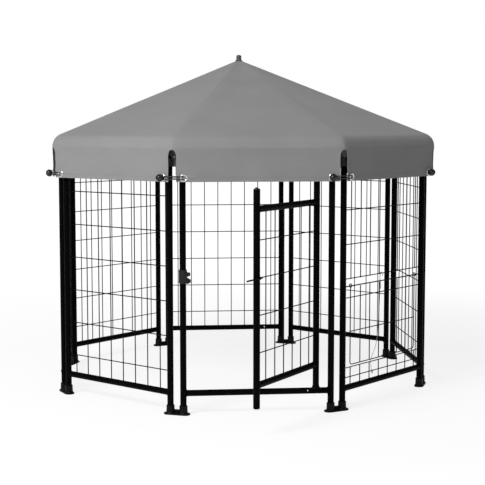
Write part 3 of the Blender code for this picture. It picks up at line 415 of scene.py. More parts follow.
class Bench:
    """The moves that the pieces are modelled with."""

    @staticmethod
    def clear() -> None:
        """Deselects everything."""
        bpy.ops.object.select_all(action="DESELECT")

    @staticmethod
    def drop(*pieces: Thing) -> None:
        """Throws pieces away."""
        for piece in pieces:
            bpy.data.objects.remove(piece, do_unlink=True)

    @classmethod
    def pick(cls, *pieces: Thing) -> None:
        """Selects these pieces alone and makes the first one active.

        Args:
            pieces: the pieces.
        """
        cls.clear()
        for piece in pieces:
            piece.select_set(True)
        bpy.context.view_layer.objects.active = pieces[0]

    @classmethod
    @contextmanager
    def editing(cls, piece: Thing, kind: Kind = Kind.FACE, everything: bool = False) -> Iterator[None]:
        """Opens a piece in edit mode.

        Args:
            piece: the piece.
            kind: what gets picked.
            everything: whether all of it starts selected, and not nothing.

        Returns:
            A context in which the piece is open.
        """
        cls.pick(piece)
        bpy.ops.object.mode_set(mode="EDIT")
        bpy.ops.mesh.select_mode(type=kind.value)
        bpy.ops.mesh.select_all(action="SELECT" if everything else "DESELECT")
        yield
        bpy.ops.object.mode_set(mode="OBJECT")

    @staticmethod
    def choose(piece: Thing, kind: Kind, test: Callable[[Vector, Vector], bool]) -> None:
        """Selects vertices, edges or faces by their middle and their direction.

        Args:
            piece: a piece that is open in edit mode.
            kind: what to select.
            test: gets the middle, and the normal of a face or vertex or the direction of an edge.
        """
        mesh = bmesh.from_edit_mesh(piece.data)
        mesh.normal_update()
        if kind is Kind.FACE:
            for face in mesh.faces:
                face.select_set(test(face.calc_center_median(), face.normal))
        elif kind is Kind.EDGE:
            for edge in mesh.edges:
                start, end = (vert.co for vert in edge.verts)
                edge.select_set(test((start + end) / 2.0, (end - start).normalized()))
        else:
            for vert in mesh.verts:
                vert.select_set(test(vert.co, vert.normal))
        mesh.select_flush_mode()
        bmesh.update_edit_mesh(piece.data)

    @classmethod
    def rounded(cls, piece: Thing, test: Callable[[Vector, Vector], bool], off: float, segments: int,
                **settings: float) -> None:
        """Rounds chosen edges of a piece off.

        Args:
            piece: the piece.
            test: as for choose.
            off: how far they are rounded.
            segments: how many faces round them.
            settings: more settings of the bevel.
        """
        with cls.editing(piece, Kind.EDGE):
            cls.choose(piece, Kind.EDGE, test)
            bpy.ops.mesh.bevel(offset=off, segments=segments, affect="EDGES", **settings)

    @classmethod
    def settled(cls, piece: Thing, place: Matrix) -> Thing:
        """Moves a piece and bakes its place into its mesh.

        Args:
            piece: the piece.
            place: where it goes.

        Returns:
            The piece.
        """
        piece.matrix_world = place @ piece.matrix_world
        cls.pick(piece)
        bpy.ops.object.transform_apply(location=True, rotation=True, scale=True)
        return piece

    @classmethod
    def moved(cls, piece: Thing, x: float = 0.0, y: float = 0.0, z: float = 0.0) -> Thing:
        """Shifts a piece."""
        return cls.settled(piece, Matrix.Translation((x, y, z)))

    @classmethod
    def copied(cls, piece: Thing, place: Matrix) -> Thing:
        """Duplicates a piece with its own mesh and sets the copy in another place.

        Args:
            piece: the piece.
            place: where the copy goes.

        Returns:
            The copy.
        """
        cls.pick(piece)
        bpy.ops.object.duplicate()
        return cls.settled(bpy.context.object, place)

    @classmethod
    def joined(cls, pieces: Sequence[Thing]) -> Thing:
        """Joins pieces into the first one.

        Args:
            pieces: the pieces.

        Returns:
            The first piece, which holds them all.
        """
        cls.pick(*pieces)
        bpy.ops.object.join()
        return pieces[0]

    @classmethod
    def sealed(cls, piece: Thing) -> Thing:
        """Merges a piece's doubles and turns its faces outwards.

        Args:
            piece: the piece.

        Returns:
            The piece.
        """
        with cls.editing(piece, Kind.VERT, True):
            bpy.ops.mesh.remove_doubles(threshold=NEAR)
            bpy.ops.mesh.normals_make_consistent(inside=False)
        return piece

    @classmethod
    def smoothed(cls, piece: Thing, angle: float = 35.0) -> None:
        """Shades a piece smooth up to an angle in degrees."""
        cls.pick(piece)
        bpy.ops.object.shade_smooth_by_angle(angle=radians(angle))

    @classmethod
    def modified(cls, piece: Thing, kind: str, **settings: object) -> Thing:
        """Adds a modifier, sets it and applies it.

        Args:
            piece: the piece.
            kind: Blender's name of the modifier.
            settings: its settings.

        Returns:
            The piece.
        """
        cls.pick(piece)
        bpy.ops.object.modifier_add(type=kind)
        change = piece.modifiers[-1]
        for key, value in settings.items():
            setattr(change, key, value)
        bpy.ops.object.modifier_apply(modifier=change.name)
        return piece

    @classmethod
    def cut(cls, piece: Thing, tool: Thing) -> Thing:
        """Cuts a tool out of a piece and throws the tool away.

        Args:
            piece: the piece.
            tool: what is cut out of it.

        Returns:
            The piece.
        """
        cls.modified(piece, "BOOLEAN", operation="DIFFERENCE", solver="EXACT", object=tool)
        cls.drop(tool)
        return piece

    @classmethod
    def turned(cls, stations: Sequence[Station], sides: int, ring: bool = False) -> Thing:
        """Draws a round piece up about Z, ring by ring, from one circle.

        Args:
            stations: (height, radius) of each ring; a radius of 0 closes on the axis.
            sides: how many sides the circle has.
            ring: whether the last ring joins the first, as on an eyelet.

        Returns:
            The piece.
        """
        cls.clear()
        height, size = stations[0][0], max(stations[0][1], POINT)
        bpy.ops.mesh.primitive_circle_add(vertices=sides, radius=size, location=(0.0, 0.0, 0.0))
        made = bpy.context.object
        with cls.editing(made, Kind.EDGE, True):
            bpy.ops.transform.translate(value=(0.0, 0.0, height))
            for level, radius in stations[1:]:
                bpy.ops.mesh.extrude_edges_move(TRANSFORM_OT_translate={"value": (0.0, 0.0, level - height)})
                share = max(radius, POINT) / size
                if share != 1.0:
                    bpy.ops.transform.resize(value=(share, share, 1.0), center_override=(0.0, 0.0, level))
                height, size = level, max(radius, POINT)
            if ring:
                bpy.ops.mesh.select_all(action="DESELECT")
                bpy.ops.mesh.select_non_manifold()
                bpy.ops.mesh.bridge_edge_loops()
            else:
                for end in (stations[0], stations[-1]):
                    cls.close_end(made, *end, sides)
            bpy.ops.mesh.select_all(action="SELECT")
            bpy.ops.mesh.normals_make_consistent(inside=False)
        return made

    @classmethod
    def close_end(cls, piece: Thing, level: float, radius: float, sides: int) -> None:
        """Closes an end ring of a turned piece that is open in edit mode, to a point or with a face.

        Args:
            piece: the piece.
            level: the ring's height.
            radius: the ring's radius, 0 for a point.
            sides: how many sides it has.
        """
        flat = max(radius, POINT) * cos(pi / sides)
        cls.choose(piece, Kind.EDGE, lambda at, way: abs(at.z - level) < NEAR
                   and abs(hypot(at.x, at.y) - flat) < NEAR and abs(way.z) < LEVEL)
        if radius > POINT:
            bpy.ops.mesh.edge_face_add()
        else:
            bpy.ops.mesh.merge(type="CENTER")

    @classmethod
    def lathe(cls, profile: Sequence[Station], sides: int, ring: bool = False) -> Thing:
        """Turns a profile that is given in millimetres, as turned does."""
        return cls.turned([(height / MM, radius / MM) for height, radius in profile], sides, ring)

    @classmethod
    def aimed(cls, piece: Thing, start: Sequence[float], way: Sequence[float]) -> Thing:
        """Lays a piece that was drawn along Z from start along way."""
        turn = Vector(way).to_track_quat("Z", "Y").to_matrix().to_4x4()
        return cls.settled(piece, Matrix.Translation(Vector(start)) @ turn)

    @classmethod
    def bar(cls, start: Sequence[float], end: Sequence[float], radius: float, sides: int,
            rim: float = 0.0) -> Thing:
        """Makes a round bar between two points.

        Args:
            start: where it starts.
            end: where it ends.
            radius: its radius.
            sides: how many sides it has.
            rim: how far its ends are rounded.

        Returns:
            The bar.
        """
        way = Vector(end) - Vector(start)
        half = [(0.0, radius)]
        if rim:
            half = [(rim * (1.0 - sin(step * pi / 6.0)), radius - rim * (1.0 - cos(step * pi / 6.0)))
                    for step in (3, 2, 1, 0)]
        return cls.aimed(cls.turned(mirrored(half, way.length), sides), start, way)

    @classmethod
    def box(cls, low: Sequence[float], high: Sequence[float]) -> Thing:
        """Makes a sharp block from its two corners.

        Args:
            low: its lowest corner.
            high: its highest corner.

        Returns:
            The block.
        """
        cls.clear()
        low, high = Vector(low), Vector(high)
        bpy.ops.mesh.primitive_cube_add(size=1.0, location=(low + high) / 2.0)
        made = bpy.context.object
        made.scale = high - low
        bpy.ops.object.transform_apply(location=True, rotation=True, scale=True)
        return made

    @classmethod
    def block(cls, low: Sequence[float], high: Sequence[float], off: float) -> Thing:
        """Makes a block from its two corners with all its edges rounded off.

        Args:
            low: its lowest corner.
            high: its highest corner.
            off: how far its edges are rounded.

        Returns:
            The block.
        """
        made = cls.box(low, high)
        cls.rounded(made, lambda at, way: True, off, 3)
        return made

    @classmethod
    def slab(cls, outline: Sequence[Station], thickness: float, rim: float) -> Thing:
        """Makes a plate from its outline, raised along Z, with rounded rims.

        Args:
            outline: its corners in order.
            thickness: how thick it is.
            rim: the radius of its rims.

        Returns:
            The plate.
        """
        cls.clear()
        bpy.ops.mesh.primitive_circle_add(vertices=len(outline), radius=0.01, fill_type="NGON")
        made = bpy.context.object
        for vert, (x, y) in zip(made.data.vertices, outline):
            vert.co = (x, y, 0.0)
        with cls.editing(made, Kind.FACE, True):
            bpy.ops.mesh.normals_make_consistent(inside=False)
            bpy.ops.mesh.extrude_region_move(TRANSFORM_OT_translate={"value": (0.0, 0.0, thickness)})
            bpy.ops.mesh.select_all(action="SELECT")
            bpy.ops.mesh.normals_make_consistent(inside=False)
        cls.rounded(made, lambda at, way: abs(way.z) < LEVEL, rim, 2)
        return cls.sealed(made)

    @staticmethod
    def from_lists(name: str, verts: list[Vector], faces: list[tuple[int, ...]], uv_name: str,
                   uvs: list[Station]) -> Thing:
        """Makes a piece from lists.

        Args:
            name: its name.
            verts: its vertices.
            faces: its faces.
            uv_name: the name of its UV map.
            uvs: the place of each face's corners on that map.

        Returns:
            The piece.
        """
        mesh = bpy.data.meshes.new(name)
        mesh.from_pydata(verts, [], faces)
        for loop, uv in zip(mesh.uv_layers.new(name=uv_name).data, uvs):
            loop.uv = uv
        made = bpy.data.objects.new(name, mesh)
        bpy.context.scene.collection.objects.link(made)
        return made


def mirrored(half: Sequence[Station], length: float) -> list[Station]:
    """Gives a bar of some length the same stations at both ends."""
    return [*half, *((length - height, radius) for height, radius in reversed(half))]


def swept(name: str, route: Sequence[Vector], radius: "float | Callable[[int], float]", sides: int,
          closed: bool, up: Vector) -> Thing:
    """Makes a round cord along a route, with a UV map that runs round it and along it.

    Args:
        name: the piece's name.
        route: the points that it follows.
        radius: its radius, or the radius at each point.
        sides: how many sides it has.
        closed: whether its end meets its start.
        up: a direction that the route never takes.

    Returns:
        The cord.
    """
    count = len(route)
    verts, faces, uvs = [], [], []
    run = [0.0]
    for index in range(1, count + 1):
        run.append(run[-1] + (route[index % count] - route[index - 1]).length)
    for index, point in enumerate(route):
        before = route[(index - 1) % count] if closed or index > 0 else point
        after = route[(index + 1) % count] if closed or index < count - 1 else point
        along = (after - before).normalized()
        side = along.cross(up).normalized()
        top = side.cross(along)
        size = radius(index) if callable(radius) else radius
        for step in range(sides):
            angle = 2.0 * pi * step / sides
            verts.append(point + size * (cos(angle) * side + sin(angle) * top))
    for index in range(count if closed else count - 1):
        here, after = index * sides, (index + 1) % count * sides
        for step in range(sides):
            beside = (step + 1) % sides
            faces.append((here + step, here + beside, after + beside, after + step))
            left, right = step / sides, (step + 1) / sides
            uvs += [(left, run[index]), (right, run[index]), (right, run[index + 1]), (left, run[index + 1])]
    if not closed:
        faces += [tuple(range(sides)), tuple(range((count - 1) * sides, count * sides))]
        uvs += [(0.0, 0.0)] * (2 * sides)
    made = Bench.from_lists(name, verts, faces, "cord", uvs)
    with Bench.editing(made, Kind.FACE, True):
        bpy.ops.mesh.normals_make_consistent(inside=False)
    return made


def eased(points: Sequence[Sequence[float]], steps: int, closed: bool = False) -> list[Vector]:
    """Reads a smooth curve through points.

    Args:
        points: the points.
        steps: spans between each two.
        closed: whether the curve comes back to its start.

    Returns:
        The curve's points.
    """
    spots = [Vector(point) for point in points]
    last = len(spots) - 1
    curve = []
    for index in range(last + 1 if closed else last):
        if closed:
            before, start, end, after = (spots[(index + shift) % (last + 1)] for shift in (-1, 0, 1, 2))
        else:
            before, start, end, after = (spots[min(max(index + shift, 0), last)] for shift in (-1, 0, 1, 2))
        for t in (step / steps for step in range(steps)):
            curve.append(0.5 * (2.0 * start + (end - before) * t
                                + (2.0 * before - 5.0 * start + 4.0 * end - after) * t ** 2
                                + (3.0 * start - before - 3.0 * end + after) * t ** 3))
    return curve if closed else curve + [spots[-1]]


# The ring of panels


@dataclass(frozen=True)
class Ring:
    """Where the panels and corners of the octagon stand."""

    middle: Vector
    count: int = 8
    panel_pitch: float = 0.585
    corner_pitch: float = 0.054
    names: tuple[str, ...] = (
        "front", "front_right", "right", "back_right", "back", "back_left", "left", "front_left")

    @property
    def step(self) -> float:
        """The turn from one panel to the next."""
        return 2.0 * pi / self.count

    @property
    def half_step(self) -> float:
        """Half of that turn."""
        return self.step / 2.0

    @property
    def panel_radius(self) -> float:
        """From the middle to a panel's plane."""
        half_side = self.panel_pitch / 2.0 + self.corner_pitch / (2.0 * cos(self.half_step))
        return half_side / tan(self.half_step)

    @property
    def corner_radius(self) -> float:
        """From the middle to the line of a corner's two posts."""
        return self.panel_radius * cos(self.half_step) + self.panel_pitch / 2.0 * sin(self.half_step)

    def panel(self, index: int) -> Matrix:
        """A panel's own frame: x along it, -y outwards."""
        turn = Matrix.Rotation(index * self.step, 4, "Z")
        return Matrix.Translation(self.middle) @ turn @ Matrix.Translation((0.0, -self.panel_radius, 0.0))

    def corner(self, index: int) -> Matrix:
        """The frame of the corner after a panel, about the ring's middle: -y points at the corner."""
        return Matrix.Translation(self.middle) @ Matrix.Rotation((index + 0.5) * self.step, 4, "Z")


class Shop:
    """Hands finished pieces over to the frame."""

    def __init__(self, ring: Ring) -> None:
        """Mixes every finish.

        Args:
            ring: the ring of panels.
        """
        self.ring = ring
        self.paints = {finish: finish.value[0].made() for finish in Finish}
        self.count = 0

    def hand_over(self, piece: Thing, name: str, finish: Finish, body: Body, *nodes: str,
                  angle: float = 35.0) -> None:
        """Names, shades, paints and attaches a piece.

        Args:
            piece: the piece, in its place.
            name: its name.
            finish: its finish.
            body: the body that it rides.
            nodes: the frame's nodes that it stands for.
            angle: the shading angle in degrees.
        """
        Bench.smoothed(piece, angle)
        piece.name = piece.data.name = name
        piece.data.materials.clear()
        piece.data.materials.append(self.paints[finish])
        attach(piece, body.value)
        if nodes:
            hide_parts(*nodes)
        self.count += 1
        LOG.info("%s: %d faces on %s", name, len(piece.data.polygons), body.value)

    def at_corners(self, *kinds: tuple[Thing, str, Finish, str]) -> None:
        """Sets copies of patterns at every corner and throws the patterns away.

        Args:
            kinds: a pattern, its copies' name and finish, and the nodes that they stand for, if any.
        """
        for index, corner in enumerate(self.ring.names):
            for pattern, name, finish, node in kinds:
                made = Bench.copied(pattern, self.ring.corner(index))
                nodes = [node + corner] if node else []
                self.hand_over(made, name + corner, finish, Body.SHELTER, *nodes)
        Bench.drop(*(pattern for pattern, *_ in kinds))


@dataclass
class TubeWork:
    """Round posts and rails, welded into ladder frames."""

    post_radius: float = 0.0125
    rail_radius: float = 0.0123
    wall: float = 0.0012
    rim: float = 0.0004
    open_depth: float = 0.010
    rail_sink: float = 0.004
    sides: int = 40
    bead: float = 0.0021
    bead_points: int = 60
    bead_lift: float = 0.0003
    bead_out: float = 0.0004
    ripples: int = 20
    ripple: float = 0.14
    drain_radius: float = 0.0034

    def tube(self, x: float, low: float, top: float) -> Thing:
        """Makes an upright open-ended tube.

        Args:
            x: its place along the panel.
            low: its lower end.
            top: its upper end.

        Returns:
            The tube.
        """
        size, bore, rim = self.post_radius, self.post_radius - self.wall, self.rim
        stations = [(low + self.open_depth, bore), (low, bore), (low, size - rim), (low + rim, size),
                    (top - rim, size), (top, size - rim), (top, bore), (top - self.open_depth, bore)]
        return Bench.moved(Bench.turned(stations, self.sides), x)

    def rail(self, left: float, right: float, z: float) -> Thing:
        """Makes a rail whose ends lie inside the posts."""
        ends = (left + self.rail_sink, 0.0, z), (right - self.rail_sink, 0.0, z)
        return Bench.bar(*ends, self.rail_radius, self.sides)

    def weld(self, x: float, z: float, toward: float) -> Thing:
        """Makes the rippled bead where a rail meets a post.

        Args:
            x: the post's middle.
            z: the rail's height.
            toward: 1 where the rail leaves to the right, -1 to the left.

        Returns:
            The bead.
        """
        points, size = [], self.post_radius + self.bead_out
        for index in range(self.bead_points):
            angle = 2.0 * pi * index / self.bead_points
            y, up = ((self.rail_radius + self.bead_lift) * way for way in (cos(angle), sin(angle)))
            points.append(Vector((x + toward * sqrt(size ** 2 - y * y), y, z + up)))
        turns = 2.0 * pi * self.ripples / self.bead_points
        return swept("bead", points, lambda index: self.bead * (1.0 + self.ripple * cos(turns * index)), 8,
                     True, ALONG)

    def ladder(self, left: float, right: float, rails: Sequence[float], left_ends: Station,
               right_ends: Station) -> list[Thing]:
        """Makes two posts, the rails between them and the welds.

        Args:
            left: the left post's middle.
            right: the right post's middle.
            rails: the rails' heights.
            left_ends: the left post's lower and upper ends.
            right_ends: the right post's lower and upper ends.

        Returns:
            The posts, then each rail with its two welds, in the frame's own place.
        """
        pieces = [self.tube(left, *left_ends), self.tube(right, *right_ends)]
        for z in rails:
            pieces += [self.rail(left, right, z), self.weld(left, z, 1.0), self.weld(right, z, -1.0)]
        return pieces

    def drain(self, rail: Thing, x: float, z: float, fall: float = 0.0) -> None:
        """Drills a rail's drain hole through from front to back.

        Args:
            rail: the rail.
            x: the hole's place along it.
            z: the rail's height.
            fall: how steeply the hole falls inwards.
        """
        reach = 2.0 * self.rail_radius
        ends = (x, -reach, z + fall * reach), (x, reach, z - fall * reach)
        Bench.cut(rail, Bench.bar(*ends, self.drain_radius, 16))


@dataclass
class WireWork:
    """Round welded wires in two layers."""

    radius: float = 0.0021
    sides: int = 10
    layer: float = 0.0013
    pitch: float = 0.0685
    flare: tuple[Station, ...] = ((0.0, 1.45), (0.0012, 1.2), (0.0030, 1.0))

    def wire(self, start: Spot, end: Spot) -> Thing:
        """Makes a wire whose ends spread into their welds.

        Args:
            start: its start.
            end: its end.

        Returns:
            The wire.
        """
        way = Vector(end) - Vector(start)
        half = [(height, self.radius * share) for height, share in self.flare]
        return Bench.aimed(Bench.turned(mirrored(half, way.length), self.sides), start, way)

    def column_places(self, count: int) -> list[float]:
        """The columns' places along a panel."""
        return [(index - (count - 1) / 2.0) * self.pitch for index in range(count)]

    def row(self, z: float, left: float, right: float) -> Thing:
        """Makes a level wire in the inner layer."""
        return self.wire((left, self.layer, z), (right, self.layer, z))

    def grid(self, places: Sequence[float], low: float, top: float, heights: Sequence[float], left: float,
             right: float) -> Thing:
        """Makes a welded mesh: upright wires outside, level wires inside.

        Args:
            places: the places of its upright wires.
            low: their lower end.
            top: their upper end.
            heights: the heights of its level wires.
            left: their left end.
            right: their right end.

        Returns:
            The mesh.
        """
        first = self.wire((places[0], -self.layer, low), (places[0], -self.layer, top))
        columns = Bench.modified(
            first, "ARRAY", count=len(places), use_relative_offset=False, use_constant_offset=True,
            constant_offset_displace=(self.pitch, 0.0, 0.0))
        return Bench.joined([columns] + [self.row(z, left, right) for z in heights])


@dataclass
class Panels:
    """The eight panels: tube frames and their welded mesh."""

    ring: Ring
    tubes: TubeWork
    wires: WireWork
    post_ends: Station = (0.0063, 1.0)
    low_rail: float = 0.086
    top_rail: float = 0.958
    rows: tuple[float, ...] = tuple(0.172 + step * 0.1375 for step in range(6))
    column_count: int = 8
    hatch_panel: int = 1
    hatch_bar: float = 0.494
    hatch_bar_radius: float = 0.0025
    hatch_bar_sink: float = 0.002
    upper_rows: tuple[float, ...] = (0.5245, 0.662, 0.7995)
    lower_rows: tuple[float, ...] = (0.1265, 0.166)
    drains: dict[int, tuple[float, float]] = field(
        default_factory=lambda: {0: (0.200, 0.23), 1: (-0.162, 0.0), 4: (-0.206, -0.165)})

    def frame_pieces(self, index: int) -> Thing:
        """Makes one panel's tubes and welds in the panel's own frame.

        Args:
            index: the panel's number, or -1 for a plain one.

        Returns:
            The frame.
        """
        half = self.ring.panel_pitch / 2.0
        rails = (self.low_rail, self.top_rail)
        pieces = self.tubes.ladder(-half, half, rails, self.post_ends, self.post_ends)
        if index in self.drains:
            x, fall = self.drains[index]
            self.tubes.drain(pieces[2], x, self.low_rail, fall)
        if index == self.hatch_panel:
            reach = half - self.tubes.post_radius + self.hatch_bar_sink
            ends = (-reach, 0.0, self.hatch_bar), (reach, 0.0, self.hatch_bar)
            pieces.append(Bench.bar(*ends, self.hatch_bar_radius, 16))
        return Bench.joined(pieces)

    def grid(self, heights: Sequence[float], low: float, top: float) -> Thing:
        """Makes a panel's welded mesh in the panel's own frame."""
        reach = self.ring.panel_pitch / 2.0 - self.tubes.post_radius + WELD_SINK
        return self.wires.grid(self.wires.column_places(self.column_count), low, top, heights, -reach, reach)

    def build(self, shop: Shop) -> None:
        """Builds all the panels and hands them over.

        Args:
            shop: the shop that takes the pieces.
        """
        low = self.low_rail + self.tubes.rail_radius - WELD_SINK
        top = self.top_rail - self.tubes.rail_radius + WELD_SINK
        plain, full = self.frame_pieces(-1), self.grid(self.rows, low, top)
        for index, name in enumerate(self.ring.names):
            place = self.ring.panel(index)
            if index in self.drains:
                frame = Bench.settled(self.frame_pieces(index), place)
            else:
                frame = Bench.copied(plain, place)
            shop.hand_over(frame, name + "_panel_tubes", Finish.POWDER, Body.SHELTER, name + "_frame")
            if index > self.hatch_panel:
                mesh = Bench.copied(full, place)
                shop.hand_over(mesh, name + "_panel_wires", Finish.POWDER, Body.SHELTER, name + "_mesh")
        upper = self.grid(self.upper_rows, self.upper_rows[0] - self.wires.radius, top)
        lower = self.grid(self.lower_rows, low, self.lower_rows[1] + self.wires.radius)
        for mesh, name in ((upper, "upper"), (lower, "lower")):
            Bench.settled(mesh, self.ring.panel(self.hatch_panel))
            shop.hand_over(mesh, f"front_right_panel_{name}_wires", Finish.POWDER, Body.SHELTER,
                           f"front_right_{name}_mesh")
        Bench.drop(plain, full)


# The gate and its latch


@dataclass
class Gate:
    """The gate in the front panel, standing open on its two bushings."""

    ring: Ring
    tubes: TubeWork
    wires: WireWork
    panels: Panels
    hinge_x: float = 0.2325
    width: float = 0.473
    open_angle: float = radians(54.0)
    rails: tuple[float, float] = (0.192, 0.835)
    free_low: float = 0.105
    free_top: float = 0.911
    cap_room: Station = (0.003, 0.006)
    bush_height: float = 0.010
    bush_gap: float = 0.0003
    column_count: int = 6
    rows: tuple[float, ...] = (0.3095, 0.447, 0.5845, 0.722)
    strike_z: float = 0.586
    strike_radius: float = 0.003
    strike_rim: float = 0.0010
    strike_weld: float = -0.01445
    strike_slant: float = -0.035577
    strike_root: float = 0.018
    strike_reach: float = 0.100
    pad_sink: float = 0.0012
    pad_lift: float = 0.0022
    drain: float = -0.390
    cap: Profile = ((0, 0), (0.2, 5), (1.2, 9.5), (2.6, 11.7), (4.2, 12.2), (5.5, 0))
    pad: Profile = ((-10, 0), (-9.5, 2), (-5, 3.6), (5, 3.6), (9.5, 2), (10, 0))
    bush: Profile = ((2, 0), (2, 9.5), (6.765, 9.5), (6.765, 17.6), (9.225, 17.8), (11.685, 17), (15.3, 15),
                     (18.3, 13.9), (21.5, 13.6), (22.3, 13), (22.3, 9.6), (51.3, 9.6), (52.3, 8.6), (52.3, 0))
    plug: Profile = ((-16, 0), (-16, 10.8), (-6.2, 10.8), (-6.2, 12.2), (-4, 12.2), (-2.2, 11.2), (-2.2, 6),
                     (1.2, 5.6), (2.2, 4.6), (2.4, 0))

    def tubes_and_strike(self) -> Thing:
        """Makes the gate's tube frame with its strike bar and the cap under the free post.

        Returns:
            The frame, about the gate's hinge.
        """
        lift = self.tubes.rail_radius + self.bush_height + self.bush_gap
        hinge_ends = (self.panels.low_rail + lift, self.panels.top_rail - lift)
        free = (self.free_low + self.cap_room[0], self.free_top - self.cap_room[1])
        pieces = self.tubes.ladder(-self.width, 0.0, self.rails, free, hinge_ends)
        self.tubes.drain(pieces[5], self.drain, self.rails[1])
        pieces.append(Bench.moved(Bench.lathe(self.cap, 32), -self.width, 0.0, self.free_low))
        ends = [(-self.width + along, self.strike_weld - self.strike_slant * along, self.strike_z)
                for along in (self.strike_root, -self.strike_reach)]
        pieces.append(Bench.bar(*ends, self.strike_radius, 20, self.strike_rim))
        for side in (-self.pad_lift, self.pad_lift):
            spot = (-self.width, self.strike_weld + self.pad_sink, self.strike_z + side)
            pieces.append(Bench.aimed(Bench.lathe(self.pad, 12), spot, ALONG))
        return Bench.joined(pieces)

    def wire_grid(self) -> Thing:
        """Makes the gate's welded mesh.

        Returns:
            The mesh, about the gate's hinge.
        """
        places = [x - self.width / 2.0 for x in self.wires.column_places(self.column_count)]
        rail, inset = self.tubes.rail_radius - WELD_SINK, self.tubes.post_radius - WELD_SINK
        return self.wires.grid(places, self.rails[0] + rail, self.rails[1] - rail, self.rows,
                               -self.width + inset, -inset)

    def build(self, shop: Shop) -> None:
        """Builds the gate and hands it over.

        Args:
            shop: the shop that takes the pieces.
        """
        panel = self.ring.panel(0)
        hinge = Matrix.Translation((self.hinge_x, 0.0, 0.0))
        place = panel @ hinge @ Matrix.Rotation(self.open_angle, 4, "Z")
        frame = Bench.settled(self.tubes_and_strike(), place)
        shop.hand_over(frame, "gate_tubes", Finish.POWDER, Body.GATE, "gate_frame")
        grid = Bench.settled(self.wire_grid(), place)
        shop.hand_over(grid, "gate_wires", Finish.POWDER, Body.GATE, "gate_mesh")
        plug = Bench.moved(Bench.lathe(self.plug, 32), -self.width, 0.0, self.free_top)
        shop.hand_over(Bench.settled(plug, place), "gate_post_plug", Finish.LATCH, Body.GATE)
        for z, toward, name in ((self.panels.low_rail, UP, "lower"), (self.panels.top_rail, -UP, "upper")):
            collar = Bench.aimed(Bench.lathe(self.bush, 32), (self.hinge_x, 0.0, z), toward)
            shop.hand_over(Bench.settled(collar, panel), "hinge_collar_" + name, Finish.POWDER, Body.SHELTER,
                           f"gate_{name}_bushing")


@dataclass
class Latch:
    """The gate's gravity latch on the left-hand post."""

    ring: Ring
    post_x: float = -0.2925
    pivot_x: float = -0.2885
    pivot_z: float = 0.560
    bore: float = 0.0129
    back: float = -0.0208
    thickness: float = 0.003
    rim: float = 0.0007
    hole_radius: float = 0.0034
    jaw_ends: Station = (0.524, 0.538)
    jaw_reach: float = 0.030
    jaw_depth: float = 0.0024
    jaw_rim: float = 0.0009
    head_radius: float = 13.0
    head_top: float = 14.5
    head_arc: float = 0.75 * pi
    head_steps: int = 8
    bands: Station = (0.527, 0.568)
    collar: Profile = ((521, 12.9), (521, 15), (521.9, 15.9), (573.1, 15.9), (574, 15), (574, 12.9))
    band: Profile = ((-1.8, 15.5), (-1.2, 16.5), (1.2, 16.5), (1.8, 15.5))
    axle: Profile = ((12.9, 0), (12.9, 7.2), (16, 6.4), (20.5, 6), (20.5, 3), (24.1, 3), (24.1, 6),
                     (24.7, 5.9), (25.6, 4.8), (26.3, 0))
    tab: Profile = ((11.8, 7.5), (13.5, 6.2), (20, 6), (22.8, 4.8), (24, 2), (24, -5.5), (22.8, -7.2),
                    (12, -11.8), (10.2, -13), (12, -14.5), (19.8, -18.3), (21, -20), (21, -33),
                    (19.2, -37.2), (15, -39), (-9, -39), (-11.8, -37.8), (-13, -35))

    def bracket(self) -> Thing:
        """Makes the collar on the post with its pivot, its jaw plate and its two bands.

        Returns:
            The collar and what is on it.
        """
        collar = Bench.moved(Bench.lathe(self.collar, 40, ring=True), self.post_x)
        axle = Bench.aimed(Bench.lathe(self.axle, 28), (self.pivot_x, 0.0, self.pivot_z), -OUTWARD)
        low, top = self.jaw_ends
        jaw = Bench.block((self.post_x, -self.bore - self.jaw_depth, low),
                          (self.post_x + self.jaw_reach, -self.bore, top), self.jaw_rim)
        bands = [Bench.moved(Bench.lathe(self.band, 40, ring=True), self.post_x, 0.0, z) for z in self.bands]
        return Bench.joined([collar, axle, jaw] + bands)

    def catch(self) -> Thing:
        """Makes the swinging plate: round head, finger tab, notch and hook.

        Returns:
            The plate.
        """
        size = self.head_radius
        turns = [pi - self.head_arc * step / self.head_steps for step in range(self.head_steps + 1)]
        head = [(size * cos(turn), self.head_top - size + size * sin(turn)) for turn in turns]
        plate = Bench.slab([(x / MM, z / MM) for x, z in (*head, *self.tab)], self.thickness, self.rim)
        front = self.back - self.thickness
        turn = Matrix(((1, 0, 0, self.pivot_x), (0, 0, 1, front), (0, 1, 0, self.pivot_z), (0, 0, 0, 1)))
        Bench.sealed(Bench.settled(plate, turn))
        ends = [(self.pivot_x, y, self.pivot_z) for y in (front - DRILL, self.back + DRILL)]
        return Bench.sealed(Bench.cut(plate, Bench.bar(*ends, self.hole_radius, 24)))

    def build(self, shop: Shop) -> None:
        """Builds the latch and hands it over.

        Args:
            shop: the shop that takes the pieces.
        """
        bracket = Bench.settled(self.bracket(), self.ring.panel(0))
        shop.hand_over(bracket, "latch_collar", Finish.LATCH, Body.SHELTER, "latch_bracket")
        catch = Bench.settled(self.catch(), self.ring.panel(0))
        shop.hand_over(catch, "latch_plate", Finish.LATCH, Body.CATCH, "latch_catch")


# The hatch


